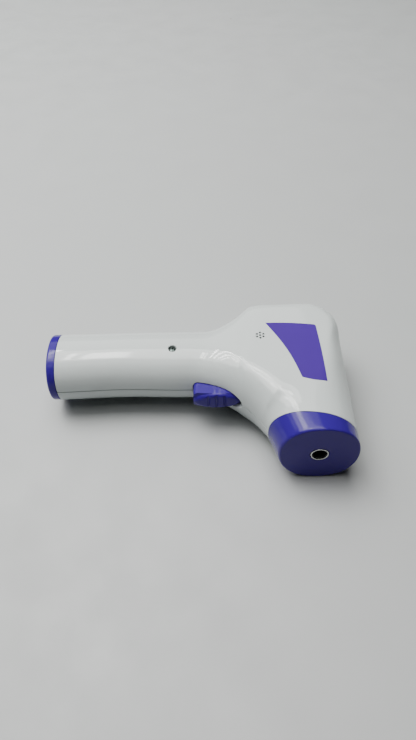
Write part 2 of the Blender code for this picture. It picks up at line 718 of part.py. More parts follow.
def make_battery():
    """Make the cradle, two cells that lie opposite ways, and the contacts at their inner ends."""
    bore = CELL_RADIUS + CLEAR
    reach = CELL_SPACING / 2 + bore + CRADLE_WALL
    height = bore + CRADLE_WALL
    low = (X_CRADLE, Y_GRIP - reach, Z_MID - height)
    high = (X_CRADLE_END, Y_GRIP + reach, Z_MID + height)
    cradle = block("battery_cradle", low, high, BLACK, 0, height * 0.9, 5)
    places = {"front_cell": Y_GRIP - CELL_SPACING / 2, "rear_cell": Y_GRIP + CELL_SPACING / 2}
    for name, y in places.items():
        hollow = [(X_CRADLE - OVERCUT, bore), (X_BORE_END, bore)]
        cut(cradle, turned_part("hollow", hollow, "x", (0, y, Z_MID), BLACK, sides=28))
        drill = [(X_BORE_END - OVERCUT, CONTACT_DRILL), (X_CRADLE_END + OVERCUT, CONTACT_DRILL)]
        cut(cradle, turned_part("drill", drill, "x", (0, y, Z_MID), BLACK, sides=12))
        near = X_CELLS
        far = X_CELLS + CELL_LENGTH
        shoulder = far - NUB_LENGTH
        body = [(near, CELL_END_RADIUS), (near + CELL_CRIMP, CELL_RADIUS), (shoulder, CELL_RADIUS)]
        body += [(shoulder, NUB_RADIUS), (far, NUB_RADIUS - NUB_EDGE)]
        if name == "rear_cell":
            body = [(near + far - along, radius) for along, radius in body[::-1]]
        turned_part(name, body, "x", (0, y, Z_MID), CELL_SLEEVE)
    start = X_CELLS + CELL_LENGTH + CLEAR
    rim = X_BORE_END - PLATE_THICK
    plate = [(start, PLATE_BUTTON), (start, PLATE_CUP), (rim, PLATE_CUP), (rim, PLATE_RADIUS)]
    plate += [(X_BORE_END - CLEAR, PLATE_RADIUS), (X_BORE_END - CLEAR, PLATE_TAIL)]
    turned_part("cell_plate", plate, "x", (0, places["front_cell"], Z_MID), STEEL, sides=16)
    spring_length = X_BORE_END - CLEAR - start
    coil("cell_spring", "x", (start, places["rear_cell"], Z_MID), spring_length, CELL_COIL, 3, STEEL)


def coil(name, axis, start, length, radius, turns, look, around=10, wire=SPRING_WIRE):
    """Make a compression spring with an even helix from start along an axis."""
    order = {"x": (0, 1, 2), "y": (1, 2, 0)}[axis]
    rings = []
    steps = turns * around
    sides = 6
    run = length - 2 * wire
    for index in range(steps + 1):
        angle = 2 * math.pi * index / around
        along = wire + run * index / steps
        ring = []
        for corner in range(sides):
            lean = 2 * math.pi * corner / sides
            reach = radius + wire * math.cos(lean)
            point = [0.0, 0.0, 0.0]
            point[order[0]] = along + wire * math.sin(lean)
            point[order[1]] = reach * math.cos(angle)
            point[order[2]] = reach * math.sin(angle)
            ring.append(Vector(point) + Vector(start))
        rings.append(ring)
    return finish_mesh(name, skin(rings), look, start)


def make_trigger():
    """Make the trigger, its return spring, and the switch and board behind it."""
    at = (X_TRIGGER, Y_TRIGGER, Z_MID)
    rings = [
        trigger_ring(-TRIGGER_EDGE, Y_TRIGGER),
        trigger_ring(-EDGE_SHARE * TRIGGER_EDGE, Y_TRIGGER + EDGE_SHARE * TRIGGER_EDGE_DEPTH),
        trigger_ring(0.0, Y_TRIGGER + TRIGGER_EDGE_DEPTH),
        trigger_ring(0.0, Y_FLANGE),
        trigger_ring(TRIGGER_FLANGE, Y_FLANGE),
        trigger_ring(TRIGGER_FLANGE, Y_FLANGE_BACK),
    ]
    trigger = finish_mesh("trigger", skin(rings), PURPLE, at)
    stem = [(Y_FLANGE_BACK - CLEAR, STEM_RADIUS), (Y_STEM, STEM_RADIUS)]
    join(trigger, turned_part("stem", stem, "y", (X_STEM, 0, Z_MID), PURPLE, sides=14))
    for index in range(GROOVES):
        x = X_TRIGGER + FIRST_GROOVE + GROOVE_PITCH * index
        rod = [(Z_MID - TRIGGER_WIDTH, GROOVE_RADIUS), (Z_MID + TRIGGER_WIDTH, GROOVE_RADIUS)]
        cut(trigger, turned_part("rod", rod, "z", (x, Y_TRIGGER, 0), PURPLE, sides=10))
    length = Y_TRIGGER_BOARD - CLEAR - Y_FLANGE_BACK - CLEAR
    start = (X_SPRING, Y_FLANGE_BACK + CLEAR, Z_MID)
    coil("trigger_spring", "y", start, length, TRIGGER_COIL, 6, STEEL)
    tact("trigger_switch", (X_STEM, Y_TRIGGER_BOARD - CLEAR, Z_MID), -1)
    half = TRIGGER_BOARD_WIDTH / 2
    low = (X_STEM - TRIGGER_BOARD_BELOW, Y_TRIGGER_BOARD, Z_MID - half)
    high = (X_SPRING + TRIGGER_BOARD_ABOVE, Y_TRIGGER_BOARD + BOARD_THICK, Z_MID + half)
    block("trigger_board", low, high, BOARD_GREEN, 1, BOARD_CORNER)


def tact(name, base, way):
    """Make a tact switch that stands on a board, with its plunger pointing along Y."""
    x, y, z = base
    half = TACT_BODY / 2
    top = y + way * TACT_HEIGHT
    low = (x - half, min(y, top), z - half)
    high = (x + half, max(y, top), z + half)
    switch = block(name, low, high, BLACK)
    reach = [(top - way * PLUNGER_FOOT, PLUNGER_RADIUS), (top + way * TACT_PLUNGER, PLUNGER_RADIUS)]
    if way < 0:
        reach = reach[::-1]
    join(switch, turned_part("plunger", reach, "y", (x, 0, z), BLACK, sides=12))


def make_display():
    """Make the display: bezel, window, panel and light guide, and the main board behind them."""
    low = (X_BEZEL, Y_REAR + CLEAR - BEZEL_DEPTH, Z_MID - BEZEL_WIDTH / 2)
    high = (X_BEZEL + BEZEL_HEIGHT, Y_REAR + CLEAR, Z_MID + BEZEL_WIDTH / 2)
    bezel = block("display_bezel", low, high, BLACK, 1, BEZEL_CORNER)
    edge = BEZEL_FRAME - CLEAR
    through_low = (low[0] + edge, low[1] - OVERCUT, low[2] + edge)
    through_high = (high[0] - edge, high[1] + OVERCUT, high[2] - edge)
    cut(bezel, block("through", through_low, through_high, BLACK, 1, BEZEL_MOUTH))
    low_window = (low[0] + BEZEL_FRAME, high[1] - CLEAR - WINDOW_THICK, low[2] + BEZEL_FRAME)
    high_window = (high[0] - BEZEL_FRAME, high[1] - CLEAR, high[2] - BEZEL_FRAME)
    block("display_window", low_window, high_window, CLEAR_GREY, 1, WINDOW_CORNER)
    rim = PANEL_MARGIN
    for name, y, thick, look in (
        ("lcd_panel", Y_PANEL, PANEL_THICK, LCD_GREY),
        ("backlight", Y_BACKLIGHT, BACKLIGHT_THICK, MILKY),
    ):
        near = (X_BEZEL + rim, y, Z_MID - BEZEL_WIDTH / 2 + rim)
        far = (X_BEZEL + BEZEL_HEIGHT - rim, y + thick, Z_MID + BEZEL_WIDTH / 2 - rim)
        block(name, near, far, look)
    near = (X_KEYS - KEY_RADIUS - BOARD_MARGIN, Y_BOARD, Z_MID - BOARD_HALF)
    far = (X_BEZEL + BEZEL_HEIGHT + BOARD_MARGIN, Y_BOARD + BOARD_THICK, Z_MID + BOARD_HALF)
    block("main_board", near, far, BOARD_GREEN, 1, BOARD_CORNER)
    middle = X_BEZEL + BEZEL_HEIGHT / 2
    chip_back = Y_BOARD - CLEAR
    low = (middle - CHIP_SIDE / 2, chip_back - CHIP_THICK, Z_MID - CHIP_SIDE / 2)
    high = (middle + CHIP_SIDE / 2, chip_back, Z_MID + CHIP_SIDE / 2)
    block("controller_chip", low, high, BLACK)


def make_keys():
    """Make three round keys in the rear face, with a tact switch under each."""
    flange = KEY_RADIUS + KEY_FLANGE
    reach = (KEY_PITCH + flange + CLEAR) / (HEAD_THICK / 2 - WALL)
    fall = (REAR_EDGE_ROUND - WALL) * (1 - (1 - min(reach, 0.95) ** REAR_POWER) ** (1 / REAR_POWER))
    inner_face = Y_REAR - WALL - fall - CLEAR
    tact_base = Y_BOARD + BOARD_THICK + CLEAR
    plunger_top = tact_base + TACT_HEIGHT + TACT_PLUNGER
    stem_end = plunger_top + KEY_TRAVEL + CLEAR
    for name, z in zip(("down", "mode", "up"), key_places()):
        top = Y_REAR + KEY_PROUD
        flange_foot = inner_face - FLANGE_THICK
        shape = [(stem_end, KEY_STEM), (flange_foot, KEY_STEM), (flange_foot, flange)]
        shape += [(inner_face, flange), (inner_face, KEY_RADIUS), (top - KEY_EDGE, KEY_RADIUS)]
        shape += [(top - KEY_EDGE_DEPTH, KEY_RADIUS - KEY_EDGE), (top, KEY_CROWN)]
        centre = (X_KEYS, 0, z)
        turned_part(name + "_key", shape, "y", centre, PURPLE, sides=20, at=(X_KEYS, Y_REAR, z))
        tact(name + "_switch", (X_KEYS, tact_base, z), 1)


def make_screw():
    """Make the recessed screw: a low head with a cross recess, on a plain shank into the left post."""
    head = Z_SCREW_FLOOR + CLEAR
    top = head + SCREW_HEAD
    radius = SCREW_RECESS_RADIUS - CLEAR
    shape = [(Z_MID - SCREW_REACH, SCREW_SHANK / 2), (Z_MID - SCREW_REACH + SCREW_SHANK, SCREW_SHANK)]
    shape += [(head, SCREW_SHANK), (head, radius), (top - 0.4 * SCREW_HEAD, radius), (top, 0.6 * radius)]
    screw = turned_part("grip_screw", shape, "z", (X_SCREW, Y_SCREW, 0), STEEL, sides=20)
    for half_x, half_y in ((CROSS_LENGTH, CROSS_WIDTH), (CROSS_WIDTH, CROSS_LENGTH)):
        low = (X_SCREW - half_x / 2, Y_SCREW - half_y / 2, top - 0.65 * SCREW_HEAD)
        high = (X_SCREW + half_x / 2, Y_SCREW + half_y / 2, top + SCREW_HEAD)
        cut(screw, block("cross", low, high, STEEL))


def make_buzzer():
    """Make the buzzer under the sound holes and return how high its underside is."""
    top = Z_MID + GRIP_THICK / 2 - WALL - BUZZER_GAP
    shape = [(top - BUZZER_HEIGHT, BUZZER_RADIUS), (top - BUZZER_EDGE, BUZZER_RADIUS)]
    shape += [(top, BUZZER_RADIUS - BUZZER_EDGE)]
    turned_part("buzzer", shape, "z", (X_SPEAKER, Y_SPEAKER, 0), BLACK)
    return top - BUZZER_HEIGHT


def lead(name, route, look, radius=LEAD_RADIUS):
    """Make a cable along a smooth curve through its route's points."""
    points = [Vector(point) for point in route]
    path = []
    ends = [2 * points[0] - points[1]] + points + [2 * points[-1] - points[-2]]
    steps = 6
    for a, b, c, d in zip(ends, ends[1:], ends[2:], ends[3:]):
        for index in range(steps):
            t = index / steps
            bend = 2 * b + (c - a) * t + (2 * a - 5 * b + 4 * c - d) * t ** 2
            bend += (3 * b - a - 3 * c + d) * t ** 3
            path.append(bend / 2)
    path.append(points[-1])
    curve = bpy.data.curves.new(name, "CURVE")
    curve.dimensions = "3D"
    curve.bevel_depth = radius
    curve.bevel_resolution = 1
    curve.use_fill_caps = True
    spline = curve.splines.new("POLY")
    spline.points.add(len(path) - 1)
    for knot, point in zip(spline.points, path):
        knot.co = (*point, 1.0)
    curve.materials.append(new_material(name + "_finish", look))
    thing = bpy.data.objects.new(name, curve)
    bpy.context.scene.collection.objects.link(thing)


def make_leads(sensor_back, buzzer_base):
    """Run a cable from each part to the main board."""
    board = Y_BOARD - CLEAR
    low_end = X_KEYS - KEY_RADIUS + LEAD_STEP
    bend = Y_BACK - WALL - LEAD_BEND
    lead("sensor_lead", [
        (X_SENSOR, sensor_back + CLEAR, Z_MID),
        (X_SENSOR, sensor_back + LEAD_TURN, Z_MID),
        (X_SENSOR - LEAD_SHIFT, (sensor_back + board) / 2, Z_MID + LEAD_SHIFT),
        (X_BEZEL + LEAD_SHIFT, board - LEAD_TURN, Z_MID + LEAD_SHIFT),
        (X_BEZEL + LEAD_SHIFT, board, Z_MID + LEAD_SHIFT),
    ], GREY_CABLE, SENSOR_LEAD_RADIUS)
    lead("buzzer_lead", [
        (X_SPEAKER, Y_SPEAKER + LEAD_SHIFT, buzzer_base - CLEAR),
        (X_SPEAKER, Y_SPEAKER + LEAD_SPREAD, buzzer_base - LEAD_SHIFT),
        (low_end + LEAD_STEP, board - LEAD_TURN, Z_MID + 2 * LEAD_SHIFT),
        (low_end + LEAD_STEP, board, Z_MID + 2 * LEAD_SHIFT),
    ], RED)
    lead("trigger_lead", [
        (X_SPRING + LEAD_STEP, Y_TRIGGER_BOARD + BOARD_THICK + CLEAR, Z_MID),
        (X_SPRING + 2 * LEAD_STEP, Y_TRIGGER_BOARD + BOARD_THICK + LEAD_SPREAD, Z_MID),
        (low_end, board - LEAD_TURN, Z_MID),
        (low_end, board, Z_MID),
    ], GREY_CABLE)
    start = X_CRADLE_END + CLEAR
    for name, y, z, look in (
        ("positive_lead", Y_GRIP - CELL_SPACING / 2, Z_MID - LEAD_SPREAD / 2, RED),
        ("negative_lead", Y_GRIP + CELL_SPACING / 2, Z_MID + LEAD_SPREAD / 2, BLACK),
    ):
        lead(name, [
            (start, y, Z_MID),
            (start + 2 * LEAD_RADIUS, y + LEAD_STEP, Z_MID),
            (start + 2 * LEAD_RADIUS, Y_SCREW + LEAD_SHIFT, z),
            (start + LEAD_RUN, bend, z),
            (X_STEM, bend + LEAD_RADIUS, z),
            (X_SPRING, bend + LEAD_STEP, z),
            (low_end, board - LEAD_TURN, z),
            (low_end, board, z),
        ], look)


def make_label():
    floor = Z_MID + HEAD_THICK / 2 - LABEL_RECESS + CLEAR
    label_prism("label_panel", 0.0, floor, floor + LABEL_THICK)


def main():
    for thing in list(bpy.data.objects):
        bpy.data.objects.remove(thing)
    make_shells()
    make_nose_ring()
    sensor_back = make_sensor()
    make_end_cap()
    make_battery()
    make_trigger()
    make_display()
    make_keys()
    make_screw()
    make_label()
    make_leads(sensor_back, make_buzzer())


main()
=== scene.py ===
"""Looks of a handheld infrared forehead thermometer that lies on its left side.

+X runs from the end of the grip to the top of the head, -Y is the way the nose points, and +Z is the
thermometer's right side, which faces up. All sizes are in metres.
"""

import json
import math

import bmesh
import bpy
from bpy.props import FloatProperty, FloatVectorProperty, IntProperty, PointerProperty
from mathutils import Matrix, Vector


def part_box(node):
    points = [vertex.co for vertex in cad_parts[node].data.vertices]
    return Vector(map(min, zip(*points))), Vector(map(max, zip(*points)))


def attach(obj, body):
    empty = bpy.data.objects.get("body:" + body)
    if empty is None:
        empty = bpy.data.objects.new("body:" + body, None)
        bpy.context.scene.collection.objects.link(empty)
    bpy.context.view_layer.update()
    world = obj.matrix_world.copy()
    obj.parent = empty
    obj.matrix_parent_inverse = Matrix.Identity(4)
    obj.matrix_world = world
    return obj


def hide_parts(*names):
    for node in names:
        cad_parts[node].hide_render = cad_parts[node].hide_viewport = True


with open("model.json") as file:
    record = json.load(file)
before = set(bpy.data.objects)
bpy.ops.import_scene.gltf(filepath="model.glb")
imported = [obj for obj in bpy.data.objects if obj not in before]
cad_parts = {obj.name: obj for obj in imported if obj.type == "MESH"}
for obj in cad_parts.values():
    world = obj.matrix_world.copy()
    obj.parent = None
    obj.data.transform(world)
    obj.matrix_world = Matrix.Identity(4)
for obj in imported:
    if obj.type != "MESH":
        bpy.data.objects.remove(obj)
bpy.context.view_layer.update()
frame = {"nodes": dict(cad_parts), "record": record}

bl_info = {
    "name": "Forehead Thermometer",
    "version": (1, 0, 0),
    "blender": (4, 5, 0),
    "location": "View3D > Sidebar > Thermometer",
    "description": "Builds the moulded housing, trim, display and materials of an infrared thermometer",
    "category": "Object",
}

REST_X = 0.050
PANEL_HEIGHT = 1.10
TUBE_HEIGHT = 1.08

# Places read from the frame
SHELL_LOW, SHELL_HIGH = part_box("right_shell")
LEFT_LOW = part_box("left_shell")[0]
CAP_LOW, CAP_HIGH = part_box("end_cap")
RING_LOW, RING_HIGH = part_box("nose_ring")
TRIGGER_LOW, TRIGGER_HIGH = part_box("trigger")
BEZEL_LOW, BEZEL_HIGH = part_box("display_bezel")
SCREW_LOW, SCREW_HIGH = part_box("grip_screw")
BUZZER_LOW, BUZZER_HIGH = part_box("buzzer")
SENSOR_LOW, SENSOR_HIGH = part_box("sensor_ring")
TUBE_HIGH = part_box("sensor_tube")[1]
CLEAR = 0.0003
WALL = 0.0020
SLIVER = 0.00008
X_END = CAP_LOW.x
X_SEAM = SHELL_LOW.x - CLEAR / 2 + 0.00002
X_TOP = SHELL_HIGH.x
Y_NOSE = RING_LOW.y
Y_REAR = SHELL_HIGH.y
Y_FRONT = CAP_LOW.y
Y_BACK = CAP_HIGH.y
Z_MID = (RING_LOW.z + RING_HIGH.z) / 2
HEAD_THICK = SHELL_HIGH.z - LEFT_LOW.z
GRIP_THICK = CAP_HIGH.z - CAP_LOW.z
X_SENSOR = (SENSOR_LOW.x + SENSOR_HIGH.x) / 2
SENSOR_RADIUS = (SENSOR_HIGH.x - SENSOR_LOW.x) / 2
SCREW = (SCREW_LOW + SCREW_HIGH) / 2
SCREW_RADIUS = (SCREW_HIGH.x - SCREW_LOW.x) / 2

# Shape of the outline, as in the frame
GRIP_SETBACK = Y_FRONT - Y_NOSE
REAR_LENGTH = 0.0456
NOSE_WIDTH = 2 * (X_TOP - X_SENSOR)
NOSE_SLOPE = math.radians(16.7)
FLARE_ANGLE = math.radians(50.0)
THROAT_RADIUS = 0.0425
FLARE_RADIUS = 0.0510
REAR_LOW_RADIUS = 0.0058
TOP_RADIUS = 0.0165
REAR_EDGE_ROUND = 0.0120
REAR_POWER = 4.0
EDGE_POWER = 2.15
SIDE_EDGE_ROUND = 0.0150
GRIP_WAIST = 0.0010
ROUND_LIMIT = 0.49
HEAD_BLEND = 0.008
NOSE_BLEND = 0.012
TOP_BLEND = 0.010
RING_TOP = 0.0068
RING_BOTTOM = 0.0135
RING_LAP = 0.0028
RING_PLATE = 0.0025
BOSS_DEPTH = 0.0060
BOSS_WALL = 0.0015
LIP = 0.0012
CUP_DEPTH = 0.0006

# Small features
HOLE_RADIUS = 0.0006
HOLE_FLARE = 0.00004
HOLE_PITCH = 0.0018
HOLE_DEPTH = 0.0011
POCKET_MOUTH = 0.0031
POCKET_FOOT = 0.0034
RECESS_FLARE = 0.00022
POST_RADIUS = 0.0034
POST_BORE = 0.0010
SCREW_HEAD = 0.0016
SCREW_SHANK = 0.0007
SCREW_CROWN = 0.0009
CROSS_REACH = 0.0011
CROSS_WIDTH = 0.00024
CROSS_DEPTH = 0.0010
LABEL_STEP = 0.004
LABEL_LOW = 0.006
LABEL_BOW = 0.0006
LABEL_TOP_BOW = 0.0003
LABEL_SIDE_BOW = 0.0018
LABEL_FOOT = 0.0112
LABEL_LEAN = 0.0010
LABEL_SIDE = 0.0365
LABEL_CORNER = 0.0011
BEZEL_CORNER = 0.0020
BEZEL_ROUND = 0.0005
WINDOW_CORNER = 0.0008
KEY_RADIUS = 0.0027
KEY_FLANGE_DEPTH = 0.0030
KEY_FLANGE = 0.0006
KEY_STEM = 0.0010
KEY_ROUND = 0.0006
KEY_DISH = 0.00022
THROAT_MOUTH = 0.0009
THROAT_BORE = 0.0021

# Trigger, as in the frame
TRIGGER_FLANGE = 0.0012
TRIGGER_TAPER = 0.0100
TRIGGER_CORNER = 0.0026
TRIGGER_BODY = 0.78
TRIGGER_FLANGE_DEPTH = 0.0016
CORNER_FALL = 0.4
TIP_POWER = 2.3
FIRST_GROOVE = 0.0075
GROOVE_PITCH = 0.0039
GROOVES = 3
GROOVE_DEPTH = 0.00055
GROOVE_HALF = 0.00062
GROOVE_EDGE = 0.00035


class Path:
    """A plane path of straight lines joined by arcs, read by the distance along it."""

    def __init__(self, corners, radii):
        points = [Vector(corner) for corner in corners]
        heads = [(b - a).normalized() for a, b in zip(points, points[1:])]
        spans = [(b - a).length for a, b in zip(points, points[1:])]
        turns = [a.angle_signed(b) for a, b in zip(heads, heads[1:])]
        cuts = [0.0] + [r * math.tan(abs(t) / 2) for r, t in zip(radii, turns)] + [0.0]
        limits = [min(1.0, span / max(a + b, 1e-9)) for span, a, b in zip(spans, cuts, cuts[1:])]
        limits = [1.0] + limits + [1.0]
        cuts = [cut * min(a, b) for cut, a, b in zip(cuts, limits, limits[1:])]
        self.pieces = []
        self.marks = [0.0]
        for index, (start, head, span) in enumerate(zip(points, heads, spans)):
            self.add_line(start + head * cuts[index], head, span - cuts[index] - cuts[index + 1])
            if index < len(turns):
                radius = cuts[index + 1] / math.tan(abs(turns[index]) / 2)
                self.add_arc(head, radius, turns[index])

    def add_line(self, start, head, span):
        self.pieces.append((self.marks[-1], span, start, head, 0.0))
        self.marks.append(self.marks[-1] + span)
        self.tip = start + head * span

    def add_arc(self, head, radius, turn):
        span = radius * abs(turn)
        self.pieces.append((self.marks[-1], span, self.tip.copy(), head, turn))
        self.marks.append(self.marks[-1] + span)

    def read(self, distance):
        """Return the point and the heading at a distance; the ends run on straight."""
        for begin, span, start, head, turn in self.pieces:
            if distance <= begin + span:
                break
        travel = distance - begin
        if turn == 0.0:
            return start + head * travel, head
        swing = -turn * travel / span
        radius = span / abs(turn)
        side = Vector((-head.y, head.x)) * (-math.copysign(radius, turn))
        centre = start + side
        return centre + Matrix.Rotation(swing, 2) @ (start - centre), Matrix.Rotation(swing, 2) @ head


OUTER = Path(
    [
        (X_SEAM, Y_BACK),
        (X_TOP - REAR_LENGTH - (Y_REAR - Y_BACK) / math.tan(FLARE_ANGLE), Y_BACK),
        (X_TOP - REAR_LENGTH, Y_REAR),
        (X_TOP, Y_REAR),
        (X_TOP, Y_NOSE),
    ],
    [FLARE_RADIUS, REAR_LOW_RADIUS, TOP_RADIUS],
)
INNER = Path(
    [
        (X_SEAM, Y_FRONT),
        (X_TOP - NOSE_WIDTH - GRIP_SETBACK * math.tan(NOSE_SLOPE), Y_FRONT),
        (X_TOP - NOSE_WIDTH, Y_NOSE),
    ],
    [THROAT_RADIUS],
)
FLARE_START, FLARE_END, LOW_START, LOW_END, TOP_START, TOP_END, OUTER_END = OUTER.marks[1:]
THROAT_START, THROAT_END, INNER_END = INNER.marks[1:]
OUTER_SEAM = OUTER_END - RING_TOP
INNER_SEAM = INNER_END - RING_BOTTOM


def throat(share):
    return THROAT_START + share * (THROAT_END - THROAT_START)


PAIRS = [
    (0.0, 0.0),
    (FLARE_START, min(FLARE_START, throat(0.0))),
    (FLARE_END, throat(0.42)),
    (LOW_END, throat(0.50)),
    (TOP_START, throat(0.68)),
    (TOP_END, throat(0.78)),
    (OUTER_SEAM, INNER_SEAM),
    (OUTER_END, INNER_END),
]


def pair_slopes():
    """Return a slope for each pair, so that the pairing runs smoothly and never turns back."""
    grades = [(b1 - b0) / (a1 - a0) for (a0, b0), (a1, b1) in zip(PAIRS, PAIRS[1:])]
    middles = [2 * a * b / (a + b) for a, b in zip(grades, grades[1:])]
    return [grades[0]] + middles + [grades[-1]]


SLOPES = pair_slopes()


def paired(distance):
    """Return the distance along the inner rail that belongs to one along the outer rail."""
    if distance <= 0.0:
        return distance * SLOPES[0]
    for (a0, b0), (a1, b1), s0, s1 in zip(PAIRS, PAIRS[1:], SLOPES, SLOPES[1:]):
        if distance <= a1:
            break
    span = a1 - a0
    t = (distance - a0) / span
    blend = t * t * (3 - 2 * t)
    rise = span * t * (1 - t) * ((1 - t) * s0 - t * s1)
    return b0 + (b1 - b0) * blend + rise


def smooth(share):
    share = min(max(share, 0.0), 1.0)
    return share * share * (3 - 2 * share)


def ramp(value, low, high):
    return smooth((value - low) / (high - low))


def profile(distance):
    """Return half thickness, roundness of both ends, the rear edge's round and its exponent."""
    in_head = ramp(distance, FLARE_START, LOW_END + HEAD_BLEND)
    at_nose = ramp(distance, TOP_END + NOSE_BLEND, OUTER_SEAM)
    at_rear = ramp(distance, FLARE_START, LOW_START) * (1 - ramp(distance, TOP_START, TOP_END + TOP_BLEND))
    half = (GRIP_THICK + (HEAD_THICK - GRIP_THICK) * in_head) / 2
    fullness = max(1 - in_head, at_nose)
    edge = REAR_EDGE_ROUND * at_rear + SIDE_EDGE_ROUND * (1 - at_rear)
    return half, fullness, edge, EDGE_POWER + (REAR_POWER - EDGE_POWER) * at_rear


def corner_shares(length, power, steps, turned_back):
    """Return (share along, rise) over one rounded edge of a section."""
    order = range(steps, -1, -1) if turned_back else range(steps + 1)
    shares = []
    for index in order:
        angle = math.pi / 2 * index / steps
        along = length * (1 - math.cos(angle) ** (2 / power))
        shares.append((along, math.sin(angle) ** (2 / power)))
    return shares


def half_section(distance, inset, side, step=0.0, bevel=0.0, steps=20, flats=7):
    """Return one half of the housing's section, from the outer rail over the side to the inner rail."""
    half, fullness, edge, power = profile(distance)
    outer, outer_head = OUTER.read(distance)
    inner_distance = paired(distance)
    inner, inner_head = INNER.read(inner_distance)
    share = min(max(inner_distance / THROAT_START, 0.0), 1.0)
    waist = GRIP_WAIST * math.sin(math.pi * share) ** 2
    outer = outer + Vector((outer_head.y, -outer_head.x)) * inset
    inner = inner + Vector((-inner_head.y, inner_head.x)) * (inset + waist)
    span = inner - outer
    rounds = []
    for size in (edge, SIDE_EDGE_ROUND):
        blended = fullness * span.length / 2 + (1 - fullness) * max(size - inset, WALL)
        rounds.append(min(blended, span.length * ROUND_LIMIT))
    high = half - inset - step
    shares = corner_shares(rounds[0], power, steps, False)
    flat = span.length - rounds[0] - rounds[1]
    shares += [(rounds[0] + flat * index / flats, 1.0) for index in range(1, flats)]
    inner_shares = corner_shares(rounds[1], EDGE_POWER, steps, True)
    shares += [(span.length - along, rise) for along, rise in inner_shares]
    if bevel:
        shares[0] = (0.0, bevel / high)
        shares[-1] = (span.length, bevel / high)
        shares = [(bevel, 0.0)] + shares + [(span.length - bevel, 0.0)]
    way = span.normalized()
    points = []
    for along, rise in shares:
        place = outer + way * along
        points.append(Vector((place.x, place.y, Z_MID + side * (step + high * rise))))
    return points


def full_section(distance, inset):
    """Return the whole closed section at a distance along the outer rail."""
    upper = half_section(distance, inset, 1)
    lower = half_section(distance, inset, -1)
    return upper + lower[-2:0:-1]


def spread(low, high, count):
    return [low + (high - low) * index / count for index in range(count)]


def quarter(steps):
    """Return (1 - sine, 1 - cosine) pairs for the turns of a rounded edge."""
    turns = [math.pi / 2 * step / steps for step in range(steps + 1)]
    return [(1 - math.sin(turn), 1 - math.cos(turn)) for turn in turns]


def skin(rings, closed=False, capped=True):
    """Return a bmesh that joins rings of equal count, closed on itself or capped at both ends."""
    mesh = bmesh.new()
    rows = [[mesh.verts.new(point) for point in ring] for ring in rings]
    count = len(rows[0])
    for row, following in zip(rows, rows[1:] + ([rows[0]] if closed else [])):
        for index in range(count):
            after = (index + 1) % count
            mesh.faces.new((row[index], row[after], following[after], following[index]))
    if capped and not closed:
        mesh.faces.new(rows[0])
        mesh.faces.new(rows[-1])
    return mesh


def softened(corners, steps=5):
    """Return a closed outline through corners of (a, b, rounding), each rounded by its own amount."""
    count = len(corners)
    outline = []
    for index, (a, b, rounding) in enumerate(corners):
        here = Vector((a, b))
        if rounding == 0.0:
            outline.append(here)
            continue
        before = Vector(corners[index - 1][:2])
        after = Vector(corners[(index + 1) % count][:2])
        start = here + (before - here).normalized() * rounding
        end = here + (after - here).normalized() * rounding
        for step in range(steps + 1):
            t = step / steps
            outline.append(start * (1 - t) ** 2 + here * (2 * t * (1 - t)) + end * t ** 2)
    return outline


def turned(outline, axis, centre, sides=64):
    """Return the rings of an outline of (distance along the axis, radius) turned about the axis."""
    order = {"x": (0, 1, 2), "y": (1, 2, 0), "z": (2, 0, 1)}[axis]
    rings = []
    for along, radius in outline:
        ring = []
        for index in range(sides):
            angle = 2 * math.pi * index / sides
            point = [0.0, 0.0, 0.0]
            point[order[0]] = along
            point[order[1]] = radius * math.cos(angle)
            point[order[2]] = radius * math.sin(angle)
            ring.append(Vector(point) + Vector(centre))
        rings.append(ring)
    return rings


def prism(outline, axis, low, high):
    """Return a bmesh of an outline pushed along an axis, with the outline's pair in X, Y, Z order."""
    rings = []
    for height in (low, high):
        ring = []
        for a, b in outline:
            ring.append({"x": (height, a, b), "y": (a, height, b), "z": (a, b, height)}[axis])
        rings.append([Vector(point) for point in ring])
    return skin(rings)


def make_piece(name, mesh, material, sharp=math.radians(40)):
    """Give a bmesh an object with outward faces, smooth shading and one material."""
    bmesh.ops.recalc_face_normals(mesh, faces=mesh.faces)
    data = bpy.data.meshes.new(name)
    mesh.to_mesh(data)
    mesh.free()
    data.shade_smooth()
    data.set_sharp_from_angle(angle=sharp)
    data.materials.append(material)
    thing = bpy.data.objects.new(name, data)
    bpy.context.scene.collection.objects.link(thing)
    return thing


def settle(piece, body, slot, *nodes):
    """Let a piece ride on a body and stand for its frame nodes, which it hides; the slot is not used."""
    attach(piece, body)
    if nodes:
        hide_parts(*nodes)
    return piece


def carve(target, cutters, operation="DIFFERENCE"):
    """Apply a Boolean with several cutters joined in one mesh, and remove them."""
    joined = bmesh.new()
    for cutter in cutters:
        bmesh.ops.recalc_face_normals(cutter, faces=cutter.faces)
        data = bpy.data.meshes.new("cutter")
        cutter.to_mesh(data)
        cutter.free()
        joined.from_mesh(data)
        bpy.data.meshes.remove(data)
    data = bpy.data.meshes.new("cutters")
    joined.to_mesh(data)
    joined.free()
    tool = bpy.data.objects.new("cutters", data)
    bpy.context.scene.collection.objects.link(tool)
    modifier = target.modifiers.new("carve", "BOOLEAN")
    modifier.operation = operation
    modifier.solver = "EXACT"
    modifier.object = tool
    bpy.context.view_layer.update()
    graph = bpy.context.evaluated_depsgraph_get()
    result = bpy.data.meshes.new_from_object(target.evaluated_get(graph))
    target.modifiers.clear()
    old = target.data
    target.data = result
    result.name = target.name
    bpy.data.meshes.remove(old)
    bpy.data.objects.remove(tool)
    bpy.data.meshes.remove(data)
    result.shade_smooth()
    result.set_sharp_from_angle(angle=math.radians(40))


# Materials -----------------------------------------------------------------------------------------


